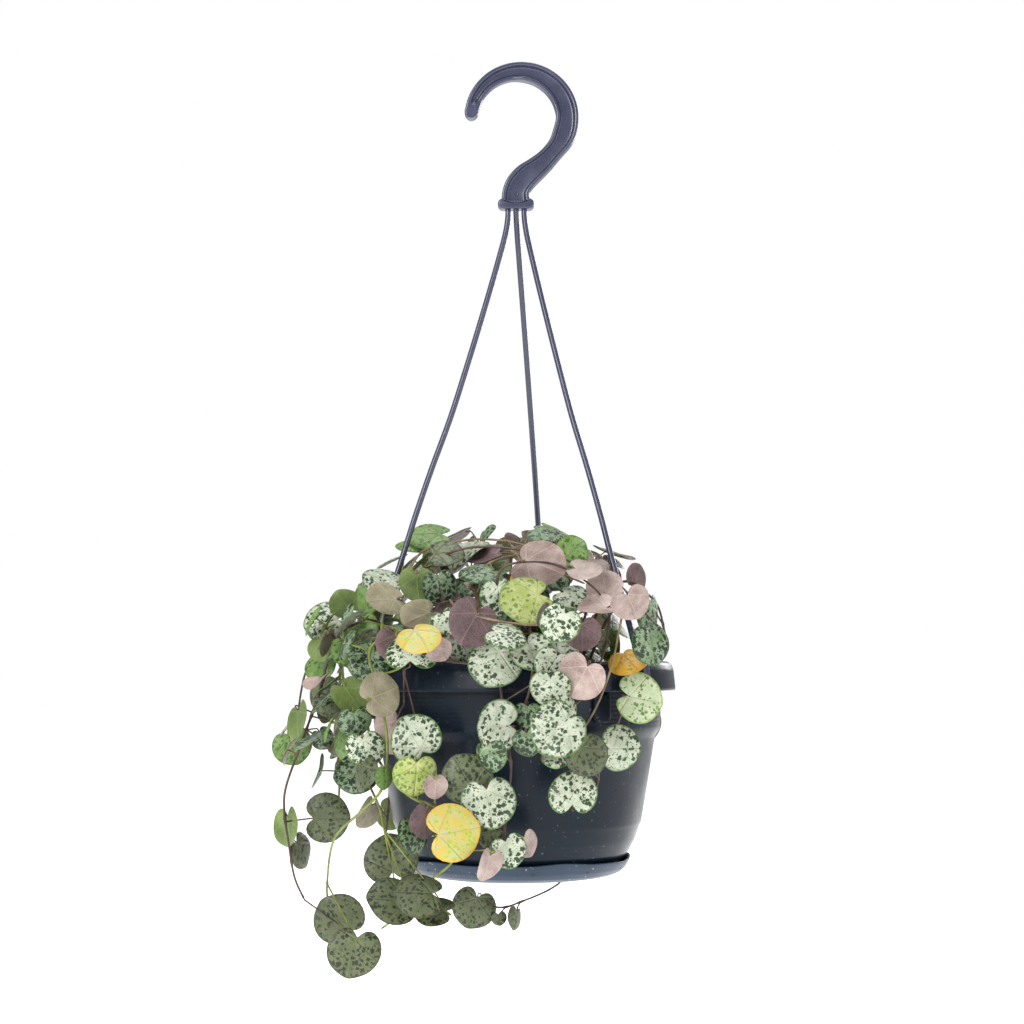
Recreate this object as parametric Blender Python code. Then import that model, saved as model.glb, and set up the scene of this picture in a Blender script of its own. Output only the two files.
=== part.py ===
"""A string of hearts plant in a 13 cm hanging pot, with its drip tray and its one-piece hanger.

Lengths below are millimetres, and meshes are made in metres. +Z is up, the front faces -Y, and the
origin is the seat of the hook: the top of its inner curve, which lies on whatever holds the pot up.
"""

import math
import random

import bmesh
import bpy
import numpy as np

MM = 0.001
SEED = 41

# Heights of the pot below the hook's seat
RIM_Z = -247.4
POT_HEIGHT = 85.6
SKIRT_DROP = 12.0
RIM_RADIUS = 66.6
GAP = 0.3

# Where the three strands meet the rim, in degrees round the pot, 0 at +X and -90 at the front
STRAND_AT = (199.0, -41.0, 78.0)
STRAND_RADIUS = 1.2
STRAND_EASE = 0.3
TAB_HALF_WIDTH = 2.1
TAB_HALF_THICK = 0.75
EAR_HALF_ANGLE = 33.0
EAR_STEP = 0.9

# The hook: an outer and an inner arc, whose centres differ so that it thins towards its tip
HOOK_INNER = 16.7
HOOK_OUTER = 24.4
HOOK_OUTER_SHIFT = 1.9
HOOK_TIP_ANGLE = 172.0
HOOK_HALF_DEPTH = 2.9
HOOK_EDGE = 1.7
HOOK_WEB_HALF = 0.9
BAR_Z = (-55.9, -50.8)
BAR_X = (-8.1, 7.3)

# The photograph's view: the camera stands level with the rim and looks up a little
FOCAL_PX = 2000.0
CENTRE_PX = 512.0
CAMERA_X = -2.1
CAMERA_AWAY = 840.0
CAMERA_Z = -245.3
CAMERA_TAN_UP = 0.072

# Leaves and stems
BLADE_THICK = 0.7
BLADE_CUP = 0.05
STEM_RADIUS = 0.95
STALK_RADIUS = 0.5
STEM_EASE = 0.7
SOIL_TOP_Z = RIM_Z - 6.5
ROOT_DEPTH = 8.0
HANG_RADIUS = 68.6
DOME_HEIGHT = 58.0


def make_material(name, colour, roughness):
    material = bpy.data.materials.new(name)
    material.use_nodes = True
    shader = material.node_tree.nodes["Principled BSDF"]
    shader.inputs["Base Color"].default_value = (*colour, 1.0)
    shader.inputs["Roughness"].default_value = roughness
    shader.inputs["Metallic"].default_value = 0.0
    return material


def make_object(name, points, faces, material):
    """Points are in millimetres, and the faces are wound to point outwards."""
    mesh = bpy.data.meshes.new(name)
    mesh.from_pydata([tuple(float(v) * MM for v in p) for p in points], [], faces)
    mesh.materials.append(material)
    mesh.shade_smooth()
    mesh.set_sharp_from_angle(angle=math.radians(40))
    obj = bpy.data.objects.new(name, mesh)
    bpy.context.scene.collection.objects.link(obj)
    return obj


def turn_outwards(obj):
    work = bmesh.new()
    work.from_mesh(obj.data)
    bmesh.ops.recalc_face_normals(work, faces=work.faces)
    work.to_mesh(obj.data)
    work.free()


def apply_boolean(obj, operation, others, solver="EXACT"):
    """Joins or cuts obj with the others in one step, then removes them."""
    if not others:
        return
    group = bpy.data.collections.new(obj.name + "_with")
    for other in others:
        group.objects.link(other)
    modifier = obj.modifiers.new("boolean", "BOOLEAN")
    modifier.operation = operation
    modifier.operand_type = "COLLECTION"
    modifier.collection = group
    modifier.solver = solver
    graph = bpy.context.evaluated_depsgraph_get()
    made = bpy.data.meshes.new_from_object(obj.evaluated_get(graph))
    obj.modifiers.clear()
    old = obj.data
    obj.data = made
    made.name = obj.name
    bpy.data.meshes.remove(old)
    for other in others:
        bpy.data.objects.remove(other)
    bpy.data.collections.remove(group)


def spline(points, spacing):
    """A smooth curve through the points, read off at about the given spacing."""
    p = np.asarray(points, float)
    ends = np.vstack([2 * p[0] - p[1], p, 2 * p[-1] - p[-2]])
    pieces = []
    for i in range(len(p) - 1):
        a, b, c, d = ends[i : i + 4]
        count = max(2, int(round(np.linalg.norm(c - b) / 0.5)))
        t = np.arange(count)[:, None] / count
        pieces.append(
            0.5 * (2 * b + (c - a) * t + (2 * a - 5 * b + 4 * c - d) * t**2 + (3 * b - a - 3 * c + d) * t**3)
        )
    fine = np.vstack([*pieces, p[-1:]])
    along = np.concatenate([[0], np.cumsum(np.linalg.norm(np.diff(fine, axis=0), axis=1))])
    count = max(3, int(round(along[-1] / spacing)) + 1)
    wanted = np.linspace(0, along[-1], count)
    return np.stack([np.interp(wanted, along, fine[:, k]) for k in range(fine.shape[1])], axis=1)


def tube_mesh(path, radii, sides, flat=None):
    """A closed tube. Each station's ring is a circle, or an ellipse if flat gives its two half-axes."""
    path = np.asarray(path, float)
    tangents = np.gradient(path, axis=0)
    tangents /= np.linalg.norm(tangents, axis=1)[:, None]
    side = np.cross(tangents[0], (0.0, 0.0, 1.0))
    if np.linalg.norm(side) < 0.1:
        side = np.cross(tangents[0], (1.0, 0.0, 0.0))
    if flat is not None:
        side = flat[0]
    points = []
    for i, (centre, tangent) in enumerate(zip(path, tangents)):
        side = side - tangent * np.dot(side, tangent)
        side = side / np.linalg.norm(side)
        up = np.cross(tangent, side)
        wide, thick = (radii[i], radii[i]) if flat is None else flat[1][i]
        for k in range(sides):
            angle = 2 * math.pi * (k + 0.5) / sides
            points.append(centre + side * wide * math.cos(angle) + up * thick * math.sin(angle))
    rings = len(path)
    faces = [tuple(reversed(range(sides))), tuple((rings - 1) * sides + k for k in range(sides))]
    for i in range(rings - 1):
        for k in range(sides):
            n = (k + 1) % sides
            faces.append((i * sides + k, i * sides + n, (i + 1) * sides + n, (i + 1) * sides + k))
    return points, faces


def turned_mesh(profile, steps, radius_add=None, height_add=None):
    """A profile of (radius, height) from axis to axis, top centre first, turned round the Z axis."""
    points, faces, rings = [], [], []
    for radius, height in profile:
        if radius < 1e-6:
            rings.append([len(points)])
            points.append((0.0, 0.0, height))
            continue
        ring = []
        for k in range(steps):
            angle = 2 * math.pi * k / steps
            r = radius + (radius_add(radius, height, angle) if radius_add else 0.0)
            z = height + (height_add(radius, height, angle) if height_add else 0.0)
            ring.append(len(points))
            points.append((r * math.cos(angle), r * math.sin(angle), z))
        rings.append(ring)
    for upper, lower in zip(rings[:-1], rings[1:]):
        for k in range(steps):
            n = (k + 1) % steps
            if len(upper) == 1:
                faces.append((upper[0], lower[k], lower[n]))
            elif len(lower) == 1:
                faces.append((upper[k], lower[0], upper[n]))
            else:
                faces.append((upper[k], lower[k], lower[n], upper[n]))
    return points, faces


def box_mesh(low, high, turn=0.0, round_bottom=False):
    """A box in the pot's radial frame: x runs outwards, y along the rim, turned to an angle."""
    (x0, y0, z0), (x1, y1, z1) = low, high
    outline = [(y0, z1), (y0, z0), (y1, z0), (y1, z1)]
    if round_bottom:
        half = (y1 - y0) / 2
        bend = [math.pi + math.pi * k / 6 for k in range(7)]
        outline = [((y0 + y1) / 2 + half * math.cos(a), z0 + half + half * math.sin(a)) for a in bend]
        outline = [(y0, z1), *outline, (y1, z1)]
    count = len(outline)
    cos, sin = math.cos(turn), math.sin(turn)
    points = [(x * cos - y * sin, x * sin + y * cos, z) for x in (x0, x1) for y, z in outline]
    faces = [tuple(range(count)), tuple(reversed(range(count, 2 * count)))]
    faces += [(k, k + count, (k + 1) % count + count, (k + 1) % count) for k in range(count)]
    return points, faces


# Pot, tray and soil

# Radius and height below the rim's top, from the inside centre up over the rim and down the outside
POT_PROFILE = (
    (0.0, -83.4), (37.3, -83.6), (42.6, -80.6), (46.6, -74.4), (49.6, -67.0),
    (56.0, -31.0), (57.6, -28.6), (58.4, -3.0), (59.4, -0.6),
    (62.6, 0.0), (64.9, -1.5), (RIM_RADIUS, -SKIRT_DROP),
    (65.2, -SKIRT_DROP), (63.9, -2.6), (60.3, -2.6),
    (59.6, -27.4), (57.4, -31.4), (51.5, -66.4), (51.0, -67.2),
    (48.4, -74.2), (43.8, -81.8), (38.4, -POT_HEIGHT), (0.0, -POT_HEIGHT + 0.5),
)
POT_STEPS = 32
DRAIN_RING = 26.0
DRAIN_RADIUS = 2.4
LUG_TURN = -16.0
LUG_HALF_WIDTH = 3.9
LUG_SLOT_HALF = 2.8
LUG_Z = (-24.0, -5.0)
LUG_SLOT_BOTTOM = -13.5
LUG_PROUD = 1.6

# Radius and height above the tray's foot
TRAY_FOOT_Z = RIM_Z - POT_HEIGHT - GAP - 2.3
TRAY_PROFILE = (
    (0.0, 2.3), (40.0, 2.3), (44.3, 4.7), (46.1, 7.9), (47.2, 7.9), (45.3, 3.9),
    (40.4, 0.8), (35.0, 0.0), (0.0, 0.9),
)
TRAY_LIP = 7.8
TRAY_RIBS = 12


def ear_part(angle):
    """1 in the three wider parts of the rim, 0 between them."""
    degrees = math.degrees(angle)
    nearest = min(abs((degrees - at + 180) % 360 - 180) for at in STRAND_AT)
    return min(1.0, max(0.0, (EAR_HALF_ANGLE - nearest) / 3 + 0.5))


def pot_wider(radius, height, angle):
    return (ear_part(angle) - 1) * EAR_STEP if radius > 62 else 0.0


def tray_wave(radius, height, angle):
    return 0.35 * math.sin(5 * angle + 0.8) + 0.2 * math.sin(3 * angle) if height > TRAY_LIP else 0.0


def build_pot():
    material = make_material("polypropylene_blue_grey", (0.030, 0.042, 0.062), 0.35)
    points, faces = turned_mesh(POT_PROFILE, POT_STEPS, radius_add=pot_wider)
    pot = make_object("pot", [(x, y, z + RIM_Z) for x, y, z in points], faces, material)
    turn_outwards(pot)
    lugs = []
    for at in STRAND_AT:
        turn = math.radians(at + LUG_TURN)
        plate = box_mesh(
            (58.4, -LUG_HALF_WIDTH, LUG_Z[0] + RIM_Z),
            (59.9 + LUG_PROUD, LUG_HALF_WIDTH, LUG_Z[1] + RIM_Z), turn
        )
        lug = make_object("lug", *plate, material)
        turn_outwards(lug)
        low, high = (60.15, -LUG_SLOT_HALF, LUG_SLOT_BOTTOM + RIM_Z), (70.0, LUG_SLOT_HALF, RIM_Z - 1.0)
        slot = box_mesh(low, high, turn, True)
        cutter = make_object("slot", *slot, material)
        turn_outwards(cutter)
        apply_boolean(lug, "DIFFERENCE", [cutter])
        lugs.append(lug)
    apply_boolean(pot, "UNION", lugs)
    drains = []
    for k in range(6):
        angle = math.pi * k / 3
        x, y = DRAIN_RING * math.cos(angle), DRAIN_RING * math.sin(angle)
        line = [(x, y, RIM_Z - POT_HEIGHT - 3), (x, y, RIM_Z - POT_HEIGHT + 6)]
        drain = make_object("drain", *tube_mesh(line, [DRAIN_RADIUS] * 2, 8), material)
        turn_outwards(drain)
        drains.append(drain)
    apply_boolean(pot, "DIFFERENCE", drains)


def build_tray():
    material = make_material("polypropylene_tray", (0.034, 0.046, 0.066), 0.35)
    points, faces = turned_mesh(TRAY_PROFILE, POT_STEPS, height_add=tray_wave)
    tray = make_object("saucer", [(x, y, z + TRAY_FOOT_Z) for x, y, z in points], faces, material)
    turn_outwards(tray)
    ribs = []
    for k in range(TRAY_RIBS):
        turn = math.radians(-82.0 + 360.0 * k / TRAY_RIBS)
        low = (44.6, -0.5, TRAY_FOOT_Z + 4.0)
        high = (45.7, 0.5, TRAY_FOOT_Z + 7.0)
        rib = make_object("rib", *box_mesh(low, high, turn), material)
        turn_outwards(rib)
        ribs.append(rib)
    apply_boolean(tray, "UNION", ribs)


def build_soil(roots):
    """The filling, with a plain hole for each stem that stands in it."""
    material = make_material("potting_soil", (0.020, 0.013, 0.009), 0.95)
    inner = [(r - GAP - 0.1, z + GAP) for r, z in POT_PROFILE[1:7]]
    top = SOIL_TOP_Z - RIM_Z
    profile = [(0.0, top + 2.0), (30.0, top + 1.4), (50.0, top + 0.3), (57.4, top - 0.6)]
    profile += [(r, z) for r, z in reversed(inner)] + [(0.0, POT_PROFILE[0][1] + GAP)]
    points, faces = turned_mesh(profile, 24)
    soil = make_object("soil", [(x, y, z + RIM_Z) for x, y, z in points], faces, material)
    turn_outwards(soil)
    holes = []
    for x, y, _ in roots:
        line = [(x, y, SOIL_TOP_Z - 9.6), (x, y, SOIL_TOP_Z + 9.0)]
        hole = make_object("hole", *tube_mesh(line, [STEM_RADIUS + 1.3] * 2, 4), material)
        turn_outwards(hole)
        holes.append(hole)
    apply_boolean(soil, "DIFFERENCE", holes)


# Hanger

# Past the arcs, the hook's two edges run down to the bar: (x, z) of each, level by level
HOOK_NECK_INNER = (
    (15.4, -21.7), (13.6, -26.5), (9.6, -31.2), (5.0, -34.6), (0.2, -37.7), (-3.8, -42.2), (-6.0, -47.4),
    (-6.6, -52.6),
)
HOOK_NECK_OUTER = (
    (25.6, -22.6), (23.2, -28.0), (19.0, -33.0), (15.2, -37.6), (11.2, -41.9), (7.2, -46.0), (5.2, -49.2),
    (5.6, -52.6),
)

# One strand: height below the seat, and distance from the pot's axis
STRAND_LINE = (
    (-53.4, 0.0), (-58.0, 0.3), (-66.0, 2.4), (-77.5, 6.6), (-90.0, 11.2), (-101.5, 15.4), (-125.0, 23.9),
    (-146.7, 31.6), (-168.3, 39.3), (-187.8, 45.7), (-203.3, 50.3), (-215.0, 53.9), (-230.7, 58.8),
    (-240.4, 61.9), (-244.4, 63.7), (-246.0, 65.2), (-247.6, 66.6), (-250.4, 67.5), (-254.6, 67.9),
    (-258.4, 68.0), (-260.4, 67.4), (-261.2, 65.8),
)
STRAND_START_X = (-4.1, 3.3, -0.4)
TAB_FROM_Z = -242.0


def hook_stations():
    """The hook's inner and outer edge points in its own plane, from the tip down to the bar."""
    inner, outer = [], []
    for k in range(13):
        angle = math.radians(HOOK_TIP_ANGLE + (2 - HOOK_TIP_ANGLE) * k / 12)
        inner.append((HOOK_INNER * math.cos(angle), HOOK_INNER * (math.sin(angle) - 1)))
        outer.append(
            (HOOK_OUTER_SHIFT + HOOK_OUTER * math.cos(angle), -HOOK_INNER + HOOK_OUTER * math.sin(angle))
        )
    inner = np.array(inner + list(HOOK_NECK_INNER))
    outer = np.array(outer + list(HOOK_NECK_OUTER))
    tip_middle, tip_half = (inner[0] + outer[0]) / 2, (outer[0] - inner[0]) / 2
    ahead = np.array([-tip_half[1], tip_half[0]])
    if ahead[1] > 0:
        ahead = -ahead
    rounds = [math.radians(a) for a in (72, 50, 25)]
    cap_in = [tip_middle + ahead * math.sin(a) - tip_half * math.cos(a) for a in rounds]
    cap_out = [tip_middle + ahead * math.sin(a) + tip_half * math.cos(a) for a in rounds]
    groove = np.array([0.0] * 4 + [0.5] + [1.0] * (len(inner) - 2))
    return np.vstack([cap_in, inner]), np.vstack([cap_out, outer]), groove


def hook_mesh():
    inner, outer, groove = hook_stations()
    points = []
    h, web = HOOK_HALF_DEPTH, HOOK_WEB_HALF
    for a, b, deep in zip(inner, outer, groove):
        width = np.linalg.norm(b - a)
        along = (b - a) / width
        edge = min(HOOK_EDGE, width * 0.3)
        g = h + (web - h) * deep - 0.01
        half = [(0.0, h), (edge, h), (edge + 0.1, g), (width - edge - 0.1, g), (width - edge, h), (width, h)]
        ring = [(s, y) for s, y in half] + [(s, -y) for s, y in reversed(half)]
        points += [(a[0] + along[0] * s, y, a[1] + along[1] * s) for s, y in ring]
    size = 12
    rings = len(inner)
    faces = [tuple(range(size)), tuple(reversed(range((rings - 1) * size, rings * size)))]
    for i in range(rings - 1):
        for k in range(size):
            n = (k + 1) % size
            faces.append((i * size + k, (i + 1) * size + k, (i + 1) * size + n, i * size + n))
    return points, faces


def bar_mesh():
    radius = (BAR_Z[1] - BAR_Z[0]) / 2
    middle = (BAR_Z[1] + BAR_Z[0]) / 2
    outline = [
        (x + radius * math.cos(a), middle + radius * math.sin(a))
        for x, start in ((BAR_X[1] - radius, -90), (BAR_X[0] + radius, 90))
        for a in (math.radians(start + 30 * k) for k in range(7))
    ]
    back, front = HOOK_HALF_DEPTH + 0.2, -HOOK_HALF_DEPTH - 0.2
    levels = ((0.8, front), (1.0, front + 0.6), (1.0, back - 0.6), (0.8, back))
    cx = (BAR_X[0] + BAR_X[1]) / 2
    points = [
        (cx + (x - cx) * (1 - (1 - s) * 0.35), y, middle + (z - middle) * s) for s, y in levels for x, z in outline
    ]
    count = len(outline)
    faces = [tuple(range(count)), tuple(reversed(range(3 * count, 4 * count)))]
    for i in range(3):
        for k in range(count):
            n = (k + 1) % count
            faces.append((i * count + k, (i + 1) * count + k, (i + 1) * count + n, i * count + n))
    return points, faces


def strand_path(number, spacing):
    """The strand runs from the bar out to the rim, over it, and down as a tab to a hook under the skirt."""
    angle = math.radians(STRAND_AT[number])
    line = []
    for z, reach in STRAND_LINE:
        start = STRAND_START_X[number] * max(0.0, 1 - reach / 30)
        line.append((start + reach * math.cos(angle), reach * math.sin(angle), z))
    return spline(line, spacing)


def strand_mesh(number):
    path = strand_path(number, 1.5)
    bend = np.flatnonzero(path[:, 2] < TAB_FROM_Z)[0]
    path = np.vstack([thinned(path[: bend + 1], STRAND_EASE)[:-1], thinned(path[bend:], STRAND_EASE / 2)])
    angle = math.radians(STRAND_AT[number])
    flatness = np.clip((TAB_FROM_Z - path[:, 2]) / 4.0, 0, 1)
    wide = STRAND_RADIUS + (TAB_HALF_WIDTH - STRAND_RADIUS) * flatness
    thick = STRAND_RADIUS + (TAB_HALF_THICK - STRAND_RADIUS) * flatness
    side = np.array([-math.sin(angle), math.cos(angle), 0.0])
    return tube_mesh(path, None, 6, (side, list(zip(wide, thick))))


def build_hanger():
    material = make_material("polypropylene_hanger", (0.130, 0.128, 0.205), 0.4)
    hanger = make_object("hanger", *hook_mesh(), material)
    turn_outwards(hanger)
    parts = [make_object("bar", *bar_mesh(), material)]
    parts += [make_object("strand", *strand_mesh(k), material) for k in range(3)]
    for part in parts:
        turn_outwards(part)
    apply_boolean(hanger, "UNION", parts)


# Foliage: where the photograph's stems and leaves lie

# A point (px, py) of the photograph becomes a place on the foliage's outer surface, which is a dome over
# the pot and a cylinder below its rim; out brings it nearer to the camera, in millimetres.


def envelope(z):
    above = z - RIM_Z
    if above <= 0:
        return HANG_RADIUS
    return HANG_RADIUS * math.sqrt(max(0.04, 1 - (above / DOME_HEIGHT) ** 2))


def spot(px, py, out):
    """The world place seen at a point of the photograph."""
    cos = 1 / math.hypot(1, CAMERA_TAN_UP)
    sin = CAMERA_TAN_UP * cos
    across, up = (px - CENTRE_PX) / FOCAL_PX, (CENTRE_PX - py) / FOCAL_PX
    y = -40.0
    for _ in range(12):
        reach = (CAMERA_AWAY + y) / (cos - up * sin)
        x = CAMERA_X + across * reach
        z = CAMERA_Z + (sin + up * cos) * reach
        y = -math.sqrt(max(envelope(z) ** 2 - x * x, 0.0)) - out
    return np.array([x, y, z])


# Each vine: its stem's points (px, py, out), and its leaves
# (px, py, width in mm, direction of the tip, turn to the right, tilt upwards, out), in degrees.
# A negative width shows the leaf's underside.
PHOTO_VINES = (
    (
        ((497, 636, -4), (498, 660, 1), (502, 700, 2), (508, 742, 3), (511, 772, 3), (506, 806, 3),
         (503, 830, 3), (494, 850, 3)),
        ((495, 662, 21, -110, 0, 15, 6), (498, 726, 20.5, 180, -30, 0, 6), (490, 755, 14, -80, -30, 0, 3),
         (467, 779, 20.5, 120, 0, 5, 6), (489, 801, 21.5, -80, 5, 5, 10), (490, 836, 10, -110, 0, 0, 6),
         (508, 850, 14.5, -70, 0, 0, 9), (526, 843, -11, -60, 40, 0, 3), (487, 863, -14, -100, 55, 0, 4)),
    ),
    (
        ((531, 636, -6), (533, 662, 1), (529, 692, 2), (521, 716, 3), (522, 742, 3)),
        ((531, 650, 17, -70, 0, 20, 4), (528, 714, 11.5, -90, 0, 0, 5), (528, 741, 12, -80, 10, 0, 5)),
    ),
    (
        ((556, 628, -8), (554, 658, 1), (552, 690, 2), (558, 714, 3), (562, 742, 3)),
        ((563, 643, 18, -30, 0, 58, 3), (553, 664, 15, -120, 0, 35, 5), (551, 688, 16, -90, -10, 0, 6),
         (565, 709, 13, -80, 55, 0, 3), (558, 728, 22.5, -135, 0, 5, 10), (556, 757, 12, -90, 0, 50, 4)),
    ),
    (
        ((606, 590, -4), (609, 616, 0), (606, 642, 2), (600, 664, 3), (589, 690, 3), (573, 707, 3)),
        ((583, 675, -19, -120, -30, 0, 6), (603, 663, -17, -75, 30, 0, 6), (599, 608, -17, 180, 0, 62, 5),
         (605, 588, -15, 100, 0, 10, 5)),
    ),
    (
        ((632, 604, -6), (629, 640, -2), (626, 662, 2), (622, 690, 2), (608, 727, 2), (601, 748, 2),
         (590, 772, 2), (585, 800, 2)),
        ((628, 660, 16, -60, 0, 48, 6), (639, 698, 20, -10, 15, 0, 4), (620, 748, 18.5, 0, 20, 0, 4),
         (587, 755, 17, -60, -10, 0, 5), (573, 794, 19, 90, 0, 10, 6), (569, 826, 18, 200, 0, 52, 4)),
    ),
    (
        ((618, 586, -12), (634, 596, -8), (648, 612, -4), (655, 640, -2)),
        ((635, 578, -13, 60, 50, 0, 0), (651, 613, 17, -80, 45, 0, 2), (652, 643, 18, -80, 35, 0, 3),
         (631, 602, -16, -60, -20, 0, 2)),
    ),
    (
        ((410, 640, -5), (405, 664, 1), (404, 684, 2), (404, 704, 2)),
        ((395, 730, -20, -110, -45, 0, 3), (416, 740, 20.5, 120, 0, 5, 7), (411, 651, 21, 90, 0, 42, 6)),
    ),
    (
        ((372, 650, -2), (364, 690, 4), (369, 732, 5), (381, 764, 6), (408, 795, 6), (436, 808, 5),
         (455, 838, 5), (452, 862, 5),
         (425, 885, 5), (416, 903, 5), (381, 929, 5)),
        ((416, 774, 18, -90, 40, 0, 5), (451, 832, 22.5, 10, 0, 5, 9), (415, 832, 17, -85, 62, 0, 3),
         (435, 786, -10, -90, 40, 0, 4), (424, 818, -16, -90, 58, 0, 1), (436, 910, 17, 170, 0, 60, 5)),
    ),
    (
        ((352, 660, 2), (358, 700, 8), (364, 745, 10), (378, 786, 11), (391, 815, 11), (396, 838, 11)),
        ((360, 630, 17, -60, -50, 0, 7), (350, 695, -17, -60, 20, 0, 13), (355, 721, 14, -80, 20, 0, 13),
         (365, 748, 16, -80, 0, 0, 14), (358, 772, 20, 190, 0, 38, 14), (385, 777, 10, -90, 55, 0, 10),
         (391, 860, 21.5, 100, 0, 15, 13), (394, 900, 21, 170, 0, 38, 10), (420, 893, 21, 175, 0, 64, 4)),
    ),
    (
        ((364, 634, 0), (352, 650, 0), (344, 670, 0), (336, 700, 0), (320, 745, 0), (304, 790, 0),
         (302, 815, 0), (306, 845, 0), (312, 880, 0), (322, 903, 0)),
        ((348, 647, 16, -50, 35, 0, 6), (324, 695, 19, -80, -40, 0, 4), (345, 742, 20, -90, -35, 0, 4),
         (322, 738, 10, -60, 0, 0, 1), (325, 818, 21, 0, 0, 0, 3), (288, 825, -18, -80, -45, 0, 2),
         (301, 850, 17, -60, 55, 0, 1), (339, 920, 22, 130, 0, 0, 4)),
    ),
    (
        ((392, 664, 2), (399, 702, 2), (409, 752, 3), (405, 800, 6), (385, 824, 8), (356, 852, 4),
         (348, 897, -3), (350, 922, -3)),
        ((354, 951, 22, -100, 0, 0, 4),),
    ),
    (
        ((372, 650, -14), (345, 655, -12), (318, 655, -12), (304, 670, -12), (298, 692, -12),
         (294, 722, -12)),
        ((320, 665, 16, -90, -30, 30, -8), (292, 745, 17.5, -70, 0, 0, -12)),
    ),
    (
        ((366, 590, -10), (350, 602, -8), (334, 614, -7), (322, 632, -7)),
        ((346, 603, -15, 120, 0, -35, -6), (328, 622, 21, 190, 0, 40, -3), (324, 646, -15, -60, -20, 0, -6)),
    ),
    (
        ((386, 606, 3), (379, 640, 4), (378, 668, 4), (376, 686, 4)),
        ((368, 661, 17, -120, 0, 10, 7), (394, 643, -16, -100, 30, 0, 6), (379, 695, -18, 20, 35, 0, 6),
         (365, 597, 17, -80, -50, 0, 6)),
    ),
    (
        ((404, 598, 0), (402, 574, 0), (414, 554, 0), (436, 546, 0), (468, 541, 0), (500, 543, 0),
         (528, 550, 0)),
        ((430, 534, 20, 180, 0, 55, 2), (412, 545, 14, 180, 0, 66, 6), (444, 553, 17, 0, 0, 50, 4),
         (384, 580, 18, 160, 0, 42, 3), (417, 584, -16, -90, 20, 10, 8), (537, 563, -23, -20, 0, -40, 3)),
    ),
    (
        ((402, 618, 2), (420, 612, 2), (446, 606, 2), (468, 612, 2)),
        ((388, 598, -17, 180, 0, -50, 5), (422, 614, -18, -150, 0, -45, 6), (447, 620, 13, -60, 0, 20, 7),
         (472, 622, -20, -120, 10, 0, 7), (440, 586, 16, -80, 30, 0, 4)),
    ),
    (
        ((436, 640, -3), (430, 652, 0), (444, 660, 2), (468, 664, 1)),
        ((419, 636, 17, -60, 0, 35, 9), (439, 649, -10, -60, 0, 0, 8), (464, 645, 18, -70, 0, 10, 4)),
    ),
    (
        ((476, 608, -2), (504, 600, 0), (528, 606, 0), (546, 600, 0)),
        ((499, 596, 16, -80, 30, 0, 4), (527, 598, 22, -160, 0, 30, 8), (504, 634, 18, -30, 0, 60, 5),
         (548, 614, -13, -90, 50, 0, 5)),
    ),
    (
        ((470, 585, -4), (492, 562, -2), (530, 554, -2), (572, 558, -2), (600, 576, -2)),
        ((480, 572, 17, 200, 0, 60, 3), (524, 579, 12, 200, 0, 58, 4), (570, 554, 16, 40, -30, 0, 1),
         (556, 575, 14, -40, 30, 20, 3), (583, 571, -15, -20, 0, 52, 3)),
    ),
    (
        ((560, 604, -3), (574, 622, -1), (586, 640, 0)),
        ((582, 632, -15, -90, 0, 0, 5), (560, 622, 16, -120, 0, 30, 4), (571, 596, 15, -40, 0, 30, 3)),
    ),
    (
        ((577, 636, -128), (573, 646, -137), (570, 668, -141), (567, 700, -142), (566, 760, -143),
         (566, 820, -143),
         (565, 858, -142), (562, 879, -139), (552, 888, -136), (538, 895, -132), (523, 901, -128),
         (506, 907, -124),
         (493, 907, -122)),
        ((474, 907, 20, -110, 0, 0, -121), (499, 918, 7, -80, 0, 0, -122), (516, 917, 12, -110, 60, 0, -124)),
    ),
)

# Vines that the photograph hides, placed by rule: on the crown, and hanging round the sides and back
CROWN_AT = (-14, 28, 64, 100, 136, 172, 208, -100)
HANGING_AT = (50, 92, 108, 124, 140, 156, 172)
HANGING_DROPS = (40, 66, 92, 44, 78, 34, 60)

# Leaves by rule: the first station on the stem, stations between pairs, the last station, and their tilt
CROWN_RULE = (16, 16, 90, 58)
HANGING_RULE = (26, 16, 120, 8)
BEHIND_RULE = (26, 16, 80, 8)
TRIES = 60
LEAF_CLEAR = 1.5
BEST_STALK = 5.0
NEAR_STEM = 22.0


class Crowd:
    """All that is placed so far: round discs for leaves, and dots with a radius for everything thin."""

    def __init__(self):
        self.discs = np.empty((0, 7))
        self.samples = np.empty((0, 3))
        self.dots = np.empty((0, 4))
        self.dot_vines = np.empty(0, int)

    def add_leaf(self, leaf):
        self.discs = np.vstack([self.discs, [*leaf["centre"], *leaf["normal"], leaf["reach"]]])
        self.samples = np.vstack([self.samples, leaf["samples"]])

    def add_line(self, points, radius, vine):
        self.dots = np.vstack([self.dots, np.column_stack([points, np.full(len(points), radius)])])
        self.dot_vines = np.concatenate([self.dot_vines, np.full(len(points), vine)])

    def line_clear(self, points, radius, vine, margin):
        if len(self.dots):
            others = self.dots[self.dot_vines != vine]
            apart = np.linalg.norm(points[:, None] - others[None, :, :3], axis=2) - others[None, :, 3]
            if apart.size and apart.min() < radius + margin:
                return False
        return self.discs_clear(points, radius + margin)

    def discs_clear(self, points, margin):
        if not len(self.discs):
            return True
        return disc_gap(points, self.discs) > margin

    def leaf_clear(self, leaf, vine, stem_near):
        if not self.discs_clear(leaf["samples"], LEAF_CLEAR):
            return False
        disc = np.array([[*leaf["centre"], *leaf["normal"], leaf["reach"]]])
        if len(self.samples) and disc_gap(self.samples, disc) < LEAF_CLEAR:
            return False
        others = self.dots[(self.dot_vines != vine) | ~stem_near]
        if len(others) and disc_gap(others[:, :3], disc, others[:, 3]) < 1.3:
            return False
        return True


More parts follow.
